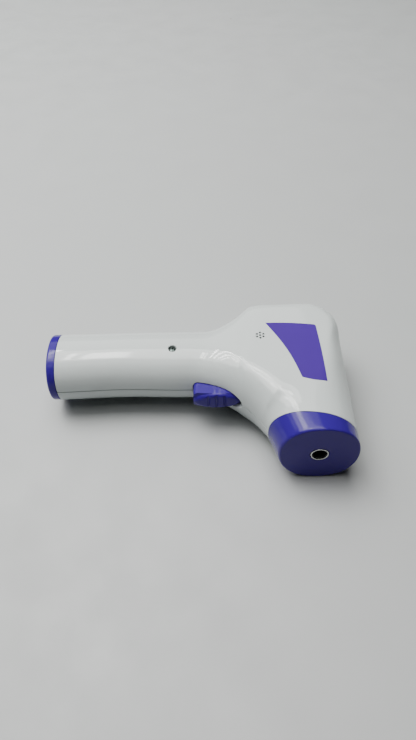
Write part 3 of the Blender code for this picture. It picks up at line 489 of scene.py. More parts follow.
class Nodes:
    """A short way to add and wire the nodes of one material or node group."""

    def __init__(self, tree):
        self.tree = tree

    def add(self, kind, **values):
        node = self.tree.nodes.new(kind)
        for name, value in values.items():
            setattr(node, name, value)
        return node

    def wire(self, source, target):
        self.tree.links.new(source, target)

    def where(self):
        return self.add("ShaderNodeTexCoord").outputs["Object"]

    def bump(self, height, distance):
        """Return a normal that a height bends, over a distance."""
        relief = self.add("ShaderNodeBump")
        relief.inputs["Distance"].default_value = distance
        self.wire(height, relief.inputs["Height"])
        return relief.outputs["Normal"]

    def noise(self, coordinates, scale, detail=3.0, roughness=0.5):
        node = self.add("ShaderNodeTexNoise")
        self.wire(coordinates, node.inputs["Vector"])
        node.inputs["Detail"].default_value = detail
        node.inputs["Roughness"].default_value = roughness
        if isinstance(scale, float):
            node.inputs["Scale"].default_value = scale
        else:
            self.wire(scale, node.inputs["Scale"])
        return node.outputs["Fac"]

    def math(self, operation, a, b=0.0):
        node = self.add("ShaderNodeMath", operation=operation)
        for socket, value in zip(node.inputs, (a, b)):
            if isinstance(value, float):
                socket.default_value = value
            else:
                self.wire(value, socket)
        return node.outputs[0]

    def spread(self, value, low, high, from_low=0.3, from_high=0.7):
        """Map a noise value's useful range to low..high, each a number or a socket."""
        node = self.add("ShaderNodeMapRange")
        self.wire(value, node.inputs["Value"])
        node.inputs["From Min"].default_value = from_low
        node.inputs["From Max"].default_value = from_high
        for name, limit in (("To Min", low), ("To Max", high)):
            if isinstance(limit, float):
                node.inputs[name].default_value = limit
            else:
                self.wire(limit, node.inputs[name])
        return node.outputs["Result"]

    def mix(self, factor, first, second):
        node = self.add("ShaderNodeMix", data_type="RGBA")
        self.wire(factor, node.inputs["Factor"])
        for socket, value in zip((node.inputs[6], node.inputs[7]), (first, second)):
            if isinstance(value, (tuple, list)):
                socket.default_value = (*value[:3], 1.0)
            else:
                self.wire(value, socket)
        return node.outputs[2]


def new_group(name, inputs, outputs):
    """Return a shader node group with its named sockets, and the sockets inside it."""
    group = bpy.data.node_groups.new(name, "ShaderNodeTree")
    for title, kind, value in inputs:
        socket = group.interface.new_socket(name=title, in_out="INPUT", socket_type=kind)
        if value is not None:
            socket.default_value = value
    for title, kind in outputs:
        group.interface.new_socket(name=title, in_out="OUTPUT", socket_type=kind)
    entry = group.nodes.new("NodeGroupInput")
    end = group.nodes.new("NodeGroupOutput")
    return group, entry.outputs, end.inputs


def moulded_skin():
    """Moulded plastic: cloudy tint, wiped-over gloss and a fine tool grain with a slight waviness."""
    name = "Moulded Skin"
    if name in bpy.data.node_groups:
        return bpy.data.node_groups[name]
    group, given, out = new_group(
        name,
        [
            ("Colour", "NodeSocketColor", (0.8, 0.8, 0.8, 1.0)),
            ("Shade", "NodeSocketColor", (0.7, 0.7, 0.7, 1.0)),
            ("Smooth", "NodeSocketFloat", 0.12),
            ("Worn", "NodeSocketFloat", 0.25),
            ("Grain Scale", "NodeSocketFloat", 900.0),
            ("Grain", "NodeSocketFloat", 0.3),
        ],
        [("Colour", "NodeSocketColor"), ("Roughness", "NodeSocketFloat"), ("Height", "NodeSocketFloat")],
    )
    nodes = Nodes(group)
    where = nodes.where()
    cloud = nodes.spread(nodes.noise(where, 22.0), 0.0, 1.0)
    nodes.wire(nodes.mix(cloud, given["Colour"], given["Shade"]), out["Colour"])
    wiped = nodes.noise(where, 60.0, 6.0, 0.65)
    nodes.wire(nodes.spread(wiped, given["Smooth"], given["Worn"], 0.35, 0.75), out["Roughness"])
    grain = nodes.math("MULTIPLY", nodes.noise(where, given["Grain Scale"], 2.0), given["Grain"])
    wave = nodes.noise(where, 140.0, 1.0)
    nodes.wire(nodes.math("ADD", grain, wave), out["Height"])
    return group


def dust_specks():
    """Sparse specks of dust as a mask, for surfaces that things are laid on."""
    name = "Dust Specks"
    if name in bpy.data.node_groups:
        return bpy.data.node_groups[name]
    group, given, out = new_group(
        name,
        [("Scale", "NodeSocketFloat", 30.0), ("Size", "NodeSocketFloat", 0.04)],
        [("Mask", "NodeSocketFloat")],
    )
    nodes = Nodes(group)
    where = nodes.where()
    cells = nodes.add("ShaderNodeTexVoronoi")
    nodes.wire(where, cells.inputs["Vector"])
    nodes.wire(given["Scale"], cells.inputs["Scale"])
    near = nodes.math("LESS_THAN", cells.outputs["Distance"], given["Size"])
    pick = nodes.add("ShaderNodeSeparateColor")
    nodes.wire(cells.outputs["Color"], pick.inputs[0])
    chosen = nodes.math("GREATER_THAN", pick.outputs[0], 0.8)
    nodes.wire(nodes.math("MULTIPLY", near, chosen), out["Mask"])
    return group


def plastic(name, colour, smooth=0.12, worn=0.25, shade=0.93, grain=0.3, grain_scale=900.0,
            bump=0.00002, metallic=0.0, gloss=0.5):
    """Return a moulded, printed or painted finish."""
    if name in bpy.data.materials:
        return bpy.data.materials[name]
    material = bpy.data.materials.new(name)
    material.use_nodes = True
    nodes = Nodes(material.node_tree)
    shader = material.node_tree.nodes["Principled BSDF"]
    shader.inputs["Metallic"].default_value = metallic
    shader.inputs["Specular IOR Level"].default_value = gloss
    skin_group = nodes.add("ShaderNodeGroup", node_tree=moulded_skin())
    values = {
        "Colour": (*colour[:3], 1.0),
        "Shade": (*[channel * shade for channel in colour[:3]], 1.0),
        "Smooth": smooth,
        "Worn": worn,
        "Grain Scale": grain_scale,
        "Grain": grain,
    }
    for title, value in values.items():
        skin_group.inputs[title].default_value = value
    nodes.wire(skin_group.outputs["Colour"], shader.inputs["Base Color"])
    nodes.wire(skin_group.outputs["Roughness"], shader.inputs["Roughness"])
    nodes.wire(nodes.bump(skin_group.outputs["Height"], bump), shader.inputs["Normal"])
    return material


def white_abs():
    return plastic("White gloss ABS", look().white, smooth=0.035, worn=0.08, shade=0.975, grain=0.10,
                   bump=0.000006)


def violet_abs():
    return plastic("Violet satin ABS", look().violet, smooth=0.08, worn=0.16, shade=0.90, grain=0.25,
                   bump=0.00001, gloss=0.22)


def label_film():
    """Printed film: violet ink with a fine dot screen and a satin face."""
    return plastic("Violet printed film", look().label, smooth=0.30, worn=0.42, shade=0.86, grain=0.8,
                   grain_scale=2600.0, gloss=0.12)


def metal(name, colour, smooth, worn, turned_axis=None):
    """Return a metal with fine tool marks, in rings about an axis where it is turned."""
    if name in bpy.data.materials:
        return bpy.data.materials[name]
    material = plastic(name, colour, smooth, worn, shade=0.82, grain=0.5, bump=0.00001, metallic=1.0)
    if turned_axis is not None:
        nodes = Nodes(material.node_tree)
        where = nodes.where()
        wave = nodes.add("ShaderNodeTexWave", wave_type="RINGS", rings_direction=turned_axis)
        nodes.wire(where, wave.inputs["Vector"])
        wave.inputs["Scale"].default_value = 2500.0
        shader = material.node_tree.nodes["Principled BSDF"]
        nodes.wire(nodes.bump(wave.outputs["Fac"], 0.000008), shader.inputs["Normal"])
    return material


def clear_window():
    """Clear acrylic: mostly see-through, with a faint grey-green cast and a clean gloss."""
    name = "Clear acrylic"
    if name in bpy.data.materials:
        return bpy.data.materials[name]
    material = plastic(name, (0.16, 0.19, 0.18), smooth=0.03, worn=0.09, grain=0.02, bump=0.000004)
    material.node_tree.nodes["Principled BSDF"].inputs["Alpha"].default_value = 0.28
    return material


def circuit_board():
    """Green solder mask over copper tracks that run in straight lanes."""
    name = "Green circuit board"
    if name in bpy.data.materials:
        return bpy.data.materials[name]
    material = plastic(name, (0.02, 0.13, 0.06), smooth=0.28, worn=0.45, shade=0.8)
    nodes = Nodes(material.node_tree)
    shader = material.node_tree.nodes["Principled BSDF"]
    base = shader.inputs["Base Color"].links[0].from_socket
    where = nodes.where()
    lanes = nodes.add("ShaderNodeTexVoronoi", distance="MANHATTAN", feature="DISTANCE_TO_EDGE")
    nodes.wire(where, lanes.inputs["Vector"])
    lanes.inputs["Scale"].default_value = 420.0
    track = nodes.math("LESS_THAN", lanes.outputs["Distance"], 0.10)
    nodes.wire(nodes.mix(track, base, (0.06, 0.26, 0.11)), shader.inputs["Base Color"])
    return material


def cell_sleeve():
    """Shrink sleeve of a battery cell: a dark body and a pale band near one end."""
    name = "Cell sleeve"
    if name in bpy.data.materials:
        return bpy.data.materials[name]
    material = plastic(name, (0.10, 0.28, 0.16), smooth=0.18, worn=0.30)
    nodes = Nodes(material.node_tree)
    shader = material.node_tree.nodes["Principled BSDF"]
    base = shader.inputs["Base Color"].links[0].from_socket
    where = nodes.where()
    axes = nodes.add("ShaderNodeSeparateXYZ")
    nodes.wire(where, axes.inputs[0])
    low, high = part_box("front_cell")
    band = nodes.math("LESS_THAN", axes.outputs["X"], low.x + (high.x - low.x) * 0.28)
    nodes.wire(nodes.mix(band, base, (0.62, 0.60, 0.52)), shader.inputs["Base Color"])
    return material


def table_top():
    """Pale laminate: a slow warm-to-cool drift, a fine stipple, and a little dust."""
    material = bpy.data.materials.new("Pale laminate")
    material.use_nodes = True
    nodes = Nodes(material.node_tree)
    shader = material.node_tree.nodes["Principled BSDF"]
    where = nodes.where()
    cool = stage().table
    warm = (cool[0] * 1.0, cool[1] * 0.975, cool[2] * 0.985)
    drift = nodes.spread(nodes.noise(where, 3.0, 2.0), 0.0, 1.0)
    specks = nodes.add("ShaderNodeGroup", node_tree=dust_specks())
    specks.inputs["Scale"].default_value = 26.0
    specks.inputs["Size"].default_value = 0.028
    drifted = nodes.mix(drift, tuple(cool), warm)
    nodes.wire(nodes.mix(specks.outputs["Mask"], drifted, (0.25, 0.23, 0.21)), shader.inputs["Base Color"])
    nodes.wire(nodes.spread(nodes.noise(where, 35.0, 5.0), 0.42, 0.58), shader.inputs["Roughness"])
    nodes.wire(nodes.bump(nodes.noise(where, 1500.0, 2.0), 0.00003), shader.inputs["Normal"])
    return material


# Sizes and colours that a user may change ----------------------------------------------------------


class ThermometerLook(bpy.types.PropertyGroup):
    """Colours and edge sizes of the thermometer."""

    white: FloatVectorProperty(
        name="Housing", description="Colour of both half shells", subtype="COLOR", size=3,
        default=(0.545, 0.590, 0.585), min=0.0, max=1.0)
    violet: FloatVectorProperty(
        name="Trim", description="Colour of the nose ring, end cap, trigger and keys",
        subtype="COLOR", size=3, default=(0.032, 0.011, 0.215), min=0.0, max=1.0)
    label: FloatVectorProperty(
        name="Label", description="Colour of the side label", subtype="COLOR", size=3,
        default=(0.055, 0.017, 0.235), min=0.0, max=1.0)
    parting: FloatProperty(
        name="Parting Gap", description="Gap that shows between the two half shells",
        default=0.00030, min=0.00002, max=0.0006, unit="LENGTH", subtype="DISTANCE")
    edge_break: FloatProperty(
        name="Edge Break", description="Small bevel along the moulded rims",
        default=0.00020, min=0.00002, max=0.0005, unit="LENGTH", subtype="DISTANCE")
    nose_round: FloatProperty(
        name="Nose Rounding", description="Rounding between the nose ring's side and its face",
        default=0.0009, min=0.0002, max=0.002, unit="LENGTH", subtype="DISTANCE")
    cap_round: FloatProperty(
        name="Cap Rounding", description="Rounding round the end cap's outer face",
        default=0.0015, min=0.0002, max=0.003, unit="LENGTH", subtype="DISTANCE")
    cap_dome: FloatProperty(
        name="Cap Dome", description="How far the end cap's face bulges out",
        default=0.0010, min=0.0, max=0.003, unit="LENGTH", subtype="DISTANCE")
    trigger_round: FloatProperty(
        name="Trigger Rounding", description="Rounding round the trigger's face",
        default=0.0016, min=0.0002, max=0.003, unit="LENGTH", subtype="DISTANCE")
    screw_depth: FloatProperty(
        name="Screw Depth", description="How far the screw's head lies below the housing",
        default=0.00045, min=0.0, max=0.0015, unit="LENGTH", subtype="DISTANCE")
    label_rise: FloatProperty(
        name="Label Rise", description="Height of the label film above the housing",
        default=0.00006, min=0.00002, max=0.0003, unit="LENGTH", subtype="DISTANCE")
    stations: IntProperty(
        name="Stations", description="Sections along the housing per 10 mm",
        default=9, min=3, max=20, subtype="UNSIGNED")


class ThermometerStage(bpy.types.PropertyGroup):
    """Table, lights and camera."""

    table: FloatVectorProperty(
        name="Table", description="Colour of the table", subtype="COLOR", size=3,
        default=(0.400, 0.422, 0.422), min=0.0, max=1.0)
    camera_place: FloatVectorProperty(
        name="Camera Place", description="Where the camera stands", subtype="TRANSLATION", size=3,
        default=(0.00545, -0.193, 0.238))
    camera_pitch: FloatProperty(
        name="Camera Pitch", description="Angle of the camera up from straight down",
        default=math.radians(42.5), subtype="ANGLE", unit="ROTATION")
    camera_roll: FloatProperty(
        name="Lean", description="How far the camera leans about the head's resting place",
        default=math.radians(1.699), subtype="ANGLE", unit="ROTATION")
    lens: FloatProperty(
        name="Lens", description="Focal length in millimetres", default=28.8, min=10.0, max=200.0,
        subtype="DISTANCE_CAMERA", unit="CAMERA")
    overhead: FloatProperty(
        name="Overhead Light", description="Radiance of the wide overhead light",
        default=7.4, min=0.0, subtype="UNSIGNED")
    tubes: FloatProperty(
        name="Tube Lights", description="Radiance of the row of tube lights",
        default=34.0, min=0.0, subtype="UNSIGNED")
    ambient: FloatProperty(
        name="Room Light", description="Strength of the even room light",
        default=0.015, min=0.0, subtype="UNSIGNED")


def look():
    return bpy.context.scene.thermometer_look


def stage():
    return bpy.context.scene.thermometer_stage


# Housing ------------------------------------------------------------------------------------------


def shell_stations():
    """Return distances along the outer rail, evenly spaced and closer where it turns sharply."""
    rate = look().stations * 100
    marks = [0.0, FLARE_START, FLARE_END, LOW_START, LOW_END, TOP_START, TOP_END, OUTER_SEAM]
    fine = {LOW_START: 10, TOP_START: 26, FLARE_START: 26}
    stops = []
    for low, high in zip(marks, marks[1:]):
        if high - low > 1e-6:
            stops += spread(low, high, fine.get(low, max(3, round((high - low) * rate))))
    return stops


def half_shell(name, side):
    """Make one half of the housing as a thin-walled loft with broken edges."""
    gap = look().parting / 2
    bevel = look().edge_break
    stops = [SLIVER, SLIVER + bevel] + [d for d in shell_stations() if d > SLIVER + 2 * bevel]
    stops += [OUTER_SEAM - SLIVER - bevel, OUTER_SEAM - SLIVER]
    rings = []
    for index, distance in enumerate(stops):
        sunk = bevel if index in (0, len(stops) - 1) else 0.0
        outside = half_section(distance, sunk, side, gap, bevel)
        inside = half_section(distance, WALL, side, gap, bevel)
        rings.append(outside + inside[::-1])
    mesh = skin(rings, capped=False)
    mesh.verts.ensure_lookup_table()
    count = len(rings[0])
    for start in (0, count * (len(rings) - 1)):
        row = mesh.verts[start:start + count]
        for index in range(count // 2 - 1):
            mesh.faces.new((row[index], row[index + 1], row[count - 2 - index], row[count - 1 - index]))
    return make_piece(name, mesh, white_abs())


def flared_hole(x, y, surface, depth, radius, flare):
    """Return a cutter for a hole along Z whose mouth is rounded over."""
    outline = [(surface - depth, radius)]
    outline += [(surface - flare * fall, radius + flare * out) for fall, out in quarter(4)]
    outline.append((surface + WALL, radius + flare))
    return skin(turned(outline, "z", (x, y, 0), 40))


def side_height(x, y):
    """Return how high the housing's right side stands at a place, by its nearest section points."""
    best = None
    for distance in spread(0.0, OUTER_SEAM, 260):
        for point in half_section(distance, 0.0, 1, 0.0, 0.0, 16, 10):
            gap = (point.x - x) ** 2 + (point.y - y) ** 2
            if best is None or gap < best[0]:
                best = (gap, point.z)
    return best[1]


def sound_holes():
    """Return the sound holes' places over the buzzer: one in the middle and six round it."""
    centre = (BUZZER_LOW + BUZZER_HIGH) / 2
    pitch = HOLE_PITCH
    places = [(centre.x, centre.y)]
    for index in range(6):
        angle = math.radians(30 + 60 * index)
        places.append((centre.x + pitch * math.cos(angle), centre.y + pitch * math.sin(angle)))
    return places


def trigger_places():
    """Return the trigger's low and high ends, half width and face, without its hidden flange."""
    low = TRIGGER_LOW.x + TRIGGER_FLANGE
    high = TRIGGER_HIGH.x - TRIGGER_FLANGE
    half = (TRIGGER_HIGH.z - TRIGGER_LOW.z) / 2 - TRIGGER_FLANGE
    return low, high, half, TRIGGER_LOW.y


def trigger_half_width(x, grow=0.0):
    """Return the trigger's half width at a place along it: blunt below and tapered above."""
    low, high, half, face = trigger_places()
    low, high, half = low - grow, high + grow, half + grow
    corner = TRIGGER_CORNER + grow
    if x < low + corner:
        return half - corner + math.sqrt(max(corner ** 2 - (low + corner - x) ** 2, 0.0))
    if x > high - TRIGGER_TAPER:
        share = min((x - high + TRIGGER_TAPER) / TRIGGER_TAPER, 1.0)
        return half * (1 - share ** TIP_POWER) ** (1 / TIP_POWER)
    return half


def trigger_stations(grow=0.0):
    """Return places along the trigger, closer together towards both ends."""
    low, high, half, face = trigger_places()
    low, high = low - grow, high + grow
    middle = (low + high) / 2
    count = 72
    return [middle - (high - low) / 2 * math.cos(math.pi * index / count) for index in range(count + 1)]


def trigger_slot():
    """Return the cutter for the slot that the trigger slides in."""
    grow = 1.4 * CLEAR
    xs = trigger_stations(grow)
    upper = [(x, Z_MID + trigger_half_width(x, grow)) for x in xs[:-1]]
    lower = [(x, 2 * Z_MID - z) for x, z in upper[::-1]]
    outline = upper + [(xs[-1], Z_MID)] + lower
    return prism(outline, "y", Y_NOSE, TRIGGER_HIGH.y)


def key_names():
    return [name for name in sorted(frame["nodes"]) if name.endswith("_key")]


def rounded_box_outline(low, high, corner, steps=8):
    corners = [(low[0], low[1], corner), (high[0], low[1], corner), (high[0], high[1], corner),
               (low[0], high[1], corner)]
    return softened(corners, steps)


class THERMO_OT_housing(bpy.types.Operator):
    """Build both half shells with their openings, and the post round the screw"""

    bl_idname = "thermo.housing"
    bl_label = "Housing"

    def execute(self, context):
        right = half_shell("right_housing", 1)
        left = half_shell("left_housing", -1)
        recess = SCREW_RADIUS + CLEAR
        height = side_height(SCREW.x, SCREW.y)
        carve(right, [flared_hole(SCREW.x, SCREW.y, height, 3 * WALL, recess, RECESS_FLARE)])
        places = sound_holes()
        grille = side_height(*places[0])
        pocket = [(grille - 2 * WALL, POCKET_FOOT), (grille - HOLE_DEPTH, POCKET_MOUTH)]
        carve(right, [skin(turned(pocket, "z", (*places[0], 0), 48))])
        holes = [flared_hole(x, y, side_height(x, y), WALL, HOLE_RADIUS, HOLE_FLARE) for x, y in places]
        carve(right, holes)
        for shell in (right, left):
            low = (BEZEL_LOW.x - CLEAR, BEZEL_LOW.z - CLEAR)
            high = (BEZEL_HIGH.x + CLEAR, BEZEL_HIGH.z + CLEAR)
            window = rounded_box_outline(low, high, BEZEL_CORNER + CLEAR)
            openings = [prism(window, "y", Y_REAR - 3 * WALL, Y_REAR + WALL)]
            for name in key_names():
                key_low, key_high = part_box(name)
                centre = (key_low + key_high) / 2
                bore = [(Y_REAR - 3 * WALL, KEY_RADIUS + CLEAR), (Y_REAR + WALL, KEY_RADIUS + CLEAR)]
                openings.append(skin(turned(bore, "y", (centre.x, 0, centre.z), 48)))
            carve(shell, openings)
            carve(shell, [trigger_slot()])
        settle(right, "housing", "white_shell", "right_shell")
        settle(left, "housing", "white_shell", "left_shell")
        self.make_post(height - WALL, recess)
        return {"FINISHED"}

    def make_post(self, under, recess):
        """The post that the screw passes through, under the right shell."""
        seat = SCREW_HIGH.z - SCREW_HEAD - CLEAR
        outline = softened([
            (Z_MID + CLEAR, POST_BORE, 0), (Z_MID + CLEAR, POST_RADIUS, 0.0002), (under, POST_RADIUS, 0),
            (under, recess, 0), (seat, recess, 0), (seat, POST_BORE, 0)])
        mesh = skin(turned(outline, "z", (SCREW.x, SCREW.y, 0), 48), closed=True)
        settle(make_piece("screw_post", mesh, white_abs()), "housing", "white_shell")


# Trim ---------------------------------------------------------------------------------------------


def round_section(template, radius, y):
    """Return a circle about the sensor's axis, each point in the direction of a section's point."""
    points = []
    for point in template:
        way = Vector((point.x - X_SENSOR, 0, point.z - Z_MID)).normalized()
        points.append(Vector((X_SENSOR + way.x * radius, y, Z_MID + way.z * radius)))
    return points


def blend_rings(first, second, share):
    return [a.lerp(b, share) for a, b in zip(first, second)]


class THERMO_OT_nose(bpy.types.Operator):
    """Build the nose ring with its flat face and the bore for the sensor"""

    bl_idname = "thermo.nose"
    bl_label = "Nose Ring"

    def execute(self, context):
        rounding = look().nose_round
        bevel = look().edge_break
        lip = WALL + CLEAR
        seam = OUTER_SEAM + SLIVER
        length = OUTER_END - seam
        lap = OUTER_SEAM - RING_LAP
        rings = [full_section(lap, lip), full_section(seam, lip)]
        rings.append(full_section(seam, bevel))
        rings.append(full_section(seam + bevel, 0.0))
        steps = 9
        for index in range(1, steps):
            rings.append(full_section(seam + bevel + (length - bevel - rounding) * index / steps, 0.0))
        for fall, inward in quarter(7):
            rings.append(full_section(OUTER_END - rounding * fall, rounding * inward))
        edge = rings[-1]
        bore = SENSOR_RADIUS + CLEAR
        mouth = round_section(edge, bore + 0.0002, Y_NOSE)
        for share in (0.03, 0.12, 0.3, 0.55, 0.8, 0.95):
            rings.append(blend_rings(edge, mouth, share))
        rings.append(mouth)
        tube = [(0.00006, SLIVER), (0.0, 0.0002), (0.0, BOSS_DEPTH)]
        tube += [(BOSS_WALL, BOSS_DEPTH), (BOSS_WALL, RING_PLATE)]
        rings += [round_section(edge, bore + grow, Y_NOSE + depth) for grow, depth in tube]
        rings.append(full_section(OUTER_END - RING_PLATE, lip + LIP))
        rings.append(full_section(lap, lip + LIP))
        piece = make_piece("nose_trim", skin(rings, closed=True), violet_abs())
        settle(piece, "housing", "purple_trim", "nose_ring")
        return {"FINISHED"}


class THERMO_OT_sensor(bpy.types.Operator):
    """Build the bright ring in the nose and the dark stepped throat inside it"""

    bl_idname = "thermo.sensor"
    bl_label = "Sensor"

    def execute(self, context):
        centre = (X_SENSOR, 0, Z_MID)
        outer = SENSOR_RADIUS
        bore = outer - 0.0006
        front = Y_NOSE - 0.00012
        lip = 0.00022
        outline = softened([
            (front, bore, lip), (front, outer, lip), (SENSOR_HIGH.y, outer, 0), (SENSOR_HIGH.y, bore, 0)])
        ring = make_piece(
            "sensor_bezel", skin(turned(outline, "y", centre, 96), closed=True),
            finish_of("sensor_metal"))
        settle(ring, "housing", "sensor_metal", "sensor_ring")
        black = bore - 0.00005
        mouth = front + THROAT_MOUTH
        corners = [(mouth, black, 0), (TUBE_HIGH.y, black, 0), (TUBE_HIGH.y, THROAT_BORE, 0)]
        steps = 5
        tread = (mouth - TUBE_HIGH.y) / steps
        for index in range(steps):
            radius = THROAT_BORE + (black - 0.0002 - THROAT_BORE) * (index + 1) / steps
            depth = TUBE_HIGH.y + tread * index
            corners += [(depth, radius, 0), (depth + tread, radius, 0)]
        throat_mesh = skin(turned(softened(corners), "y", centre, 64), closed=True)
        throat_piece = make_piece(
            "sensor_throat", throat_mesh, plastic("Matt black liner", (0.008, 0.008, 0.009), 0.45, 0.65))
        settle(throat_piece, "housing", "black_plastic", "sensor_tube")
        return {"FINISHED"}


class THERMO_OT_end_cap(bpy.types.Operator):
    """Build the grip's end cap with its spigot"""

    bl_idname = "thermo.end_cap"
    bl_label = "End Cap"

    def execute(self, context):
        rounding = look().cap_round
        bevel = look().edge_break
        lip = WALL + CLEAR
        seam = -SLIVER
        end = X_END - X_SEAM
        face = full_section(end, rounding)
        centre = Vector((X_END, (Y_FRONT + Y_BACK) / 2, Z_MID))
        rings = []
        for share in (0.02, 0.25, 0.45, 0.62, 0.76, 0.87, 0.95):
            bulge = Vector((-look().cap_dome * (1 - share ** 3), 0, 0))
            rings.append([centre + bulge + (point - centre) * share for point in face])
        for inward, along in quarter(8):
            rings.append(full_section(end + rounding * along, rounding * inward))
        spigot = CAP_HIGH.x - X_SEAM
        sections = [((end + rounding + seam) / 2, 0.0), (seam - bevel, 0.0), (seam, bevel), (seam, lip)]
        sections += [(spigot, lip), (spigot, lip + LIP), (-CUP_DEPTH, lip + LIP)]
        rings += [full_section(distance, inset) for distance, inset in sections]
        piece = make_piece("grip_end_cap", skin(rings), violet_abs())
        settle(piece, "end_cap", "purple_trim", "end_cap")
        return {"FINISHED"}


class THERMO_OT_trigger(bpy.types.Operator):
    """Build the trigger with its rounded face and three grooves"""

    bl_idname = "thermo.trigger"
    bl_label = "Trigger"

    def execute(self, context):
        low, high, half, face = trigger_places()
        rounding = look().trigger_round
        back = TRIGGER_LOW.y + (TRIGGER_HIGH.y - TRIGGER_LOW.y) * TRIGGER_BODY
        xs = trigger_stations()
        mesh = bmesh.new()
        across = 26
        front = []
        for x in xs:
            row = []
            width = trigger_half_width(x)
            for index in range(across + 1):
                z = -width * math.cos(math.pi * index / across)
                oval = math.hypot((x - (low + high) / 2) / ((high - low) / 2), z / half)
                inside = (1 - oval) * half
                kept = rounding - min(max(inside, 0.0), rounding)
                fall = rounding - math.sqrt(rounding ** 2 - kept ** 2) - CORNER_FALL * min(inside, 0.0)
                dip = self.groove(x - low) * smooth(inside / 0.0011)
                row.append(mesh.verts.new((x, face + fall + dip, Z_MID + z)))
            front.append(row)
        for row, following in zip(front, front[1:]):
            for index in range(across):
                mesh.faces.new((row[index], row[index + 1], following[index + 1], following[index]))
        rim = front[0] + [row[-1] for row in front[1:]] + front[-1][-2::-1]
        rim += [row[0] for row in front[-2:0:-1]]
        previous = rim
        bottom = back + TRIGGER_FLANGE_DEPTH
        for depth, grow in ((back - 0.0002, 0.0), (back, TRIGGER_FLANGE), (bottom, TRIGGER_FLANGE)):
            ring = []
            for vertex in rim:
                way = Vector((vertex.co.x - (low + high) / 2, 0, vertex.co.z - Z_MID))
                out = way.normalized() * grow
                ring.append(mesh.verts.new((vertex.co.x + out.x, depth, vertex.co.z + out.z)))
            count = len(rim)
            for index in range(count):
                after = (index + 1) % count
                mesh.faces.new((previous[index], previous[after], ring[after], ring[index]))
            previous = ring
        mesh.faces.new(previous)
        bmesh.ops.remove_doubles(mesh, verts=mesh.verts, dist=0.00002)
        piece = make_piece("trigger_button", mesh, violet_abs())
        settle(piece, "trigger", "purple_trim", "trigger")
        return {"FINISHED"}

    def groove(self, along):
        """Return how deep the face is at a distance along it: three flat-bottomed grooves."""
        depth = 0.0
        for index in range(GROOVES):
            middle = FIRST_GROOVE + GROOVE_PITCH * index
            depth = max(depth, GROOVE_DEPTH * smooth((GROOVE_HALF - abs(along - middle)) / GROOVE_EDGE))
        return depth


class THERMO_OT_label(bpy.types.Operator):
    """Build the plain violet film on the head's right side, following the housing"""

    bl_idname = "thermo.label"
    bl_label = "Side Label"

    def execute(self, context):
        rise = look().label_rise
        stops = [d for d in shell_stations() if d > FLARE_START] + [OUTER_SEAM]
        rings = []
        for distance in stops:
            outside = half_section(distance, -rise, 1, LABEL_STEP)
            inside = half_section(distance, rise, 1, LABEL_STEP)
            rings.append(outside + inside[::-1])
        piece = make_piece("side_label", skin(rings), label_film())
        carve(piece, [prism(self.outline(), "z", Z_MID + LABEL_LOW, Z_MID + HEAD_THICK)], "INTERSECT")
        piece.data.materials.clear()
        piece.data.materials.append(label_film())
        settle(piece, "housing", "label", "label_panel")
        return {"FINISHED"}

    def outline(self):
        """The label's outline: bowed ends, a curved side towards the grip and rounded corners."""
        low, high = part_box("label_panel")
        points = []
        steps = 10
        top = [(high.x, low.y), (high.x - LABEL_LEAN, high.y - 2 * LABEL_LEAN), (low.x, high.y)]
        top.append((high.x - LABEL_FOOT, high.y - LABEL_SIDE))
        bows = [LABEL_TOP_BOW, LABEL_BOW, LABEL_SIDE_BOW, LABEL_BOW]
        for index, (start, end) in enumerate(zip(top, top[1:] + top[:1])):
            a, b = Vector(start), Vector(end)
            out = Vector((-(b - a).y, (b - a).x)).normalized() * -bows[index]
            if index == 2:
                out = Vector((1.0, 0.0)) * bows[index]
            for step in range(steps):
                t = step / steps
                place = a.lerp(b, t) + out * math.sin(math.pi * t)
                points.append((place.x, place.y, 0.0))
        points[steps] = (*points[steps][:2], LABEL_CORNER)
        return [tuple(point) for point in softened(points, 4)]


# Rear face ----------------------------------------------------------------------------------------


def frame_bars(low, high, frame_width, y_low, y_high, corner, rounding):
    """Return a bmesh of a rectangular frame with rounded outer and inner front edges."""
    def loop(grow, y):
        box_low = (low[0] - grow, low[1] - grow)
        box_high = (high[0] + grow, high[1] + grow)
        outline = rounded_box_outline(box_low, box_high, max(corner + grow, 0.0005))
        return [Vector((a, y, b)) for a, b in outline]

    rings = [loop(0.0, y_low)]
    rings += [loop(-rounding * inward, y_high - rounding * fall) for fall, inward in quarter(4)]
    for fall, inward in quarter(4)[::-1]:
        rings.append(loop(rounding * inward - frame_width, y_high - rounding * fall))
    rings.append(loop(-frame_width, y_low))
    return skin(rings, closed=True)


class THERMO_OT_display(bpy.types.Operator):
    """Build the display's bezel and its slightly domed window"""

    bl_idname = "thermo.display"
    bl_label = "Display"

    def execute(self, context):
        low = (BEZEL_LOW.x, BEZEL_LOW.z)
        high = (BEZEL_HIGH.x, BEZEL_HIGH.z)
        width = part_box("display_window")[0].x - BEZEL_LOW.x
        mesh = frame_bars(low, high, width - CLEAR, BEZEL_LOW.y, BEZEL_HIGH.y, BEZEL_CORNER, BEZEL_ROUND)
        piece = make_piece("display_frame", mesh, finish_of("bezel_plastic"))
        settle(piece, "housing", "bezel_plastic", "display_bezel")
        self.make_window()
        return {"FINISHED"}

    def make_window(self):
        low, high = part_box("display_window")
        outline = rounded_box_outline((low.x, low.z), (high.x, high.z), WINDOW_CORNER)
        middle = Vector(((low.x + high.x) / 2, 0, (low.z + high.z) / 2))
        rings = []
        for share, fall in ((1.0, None), (1.0, 0.00018), (0.985, 0.00008), (0.7, 0.00004), (0.35, 0.0)):
            y = low.y if fall is None else high.y - fall
            ring = []
            for a, b in outline:
                x = middle.x + (a - middle.x) * share
                ring.append(Vector((x, y, middle.z + (b - middle.z) * share)))
            rings.append(ring)
        piece = make_piece("display_glass", skin(rings), clear_window())
        settle(piece, "housing", "window", "display_window")


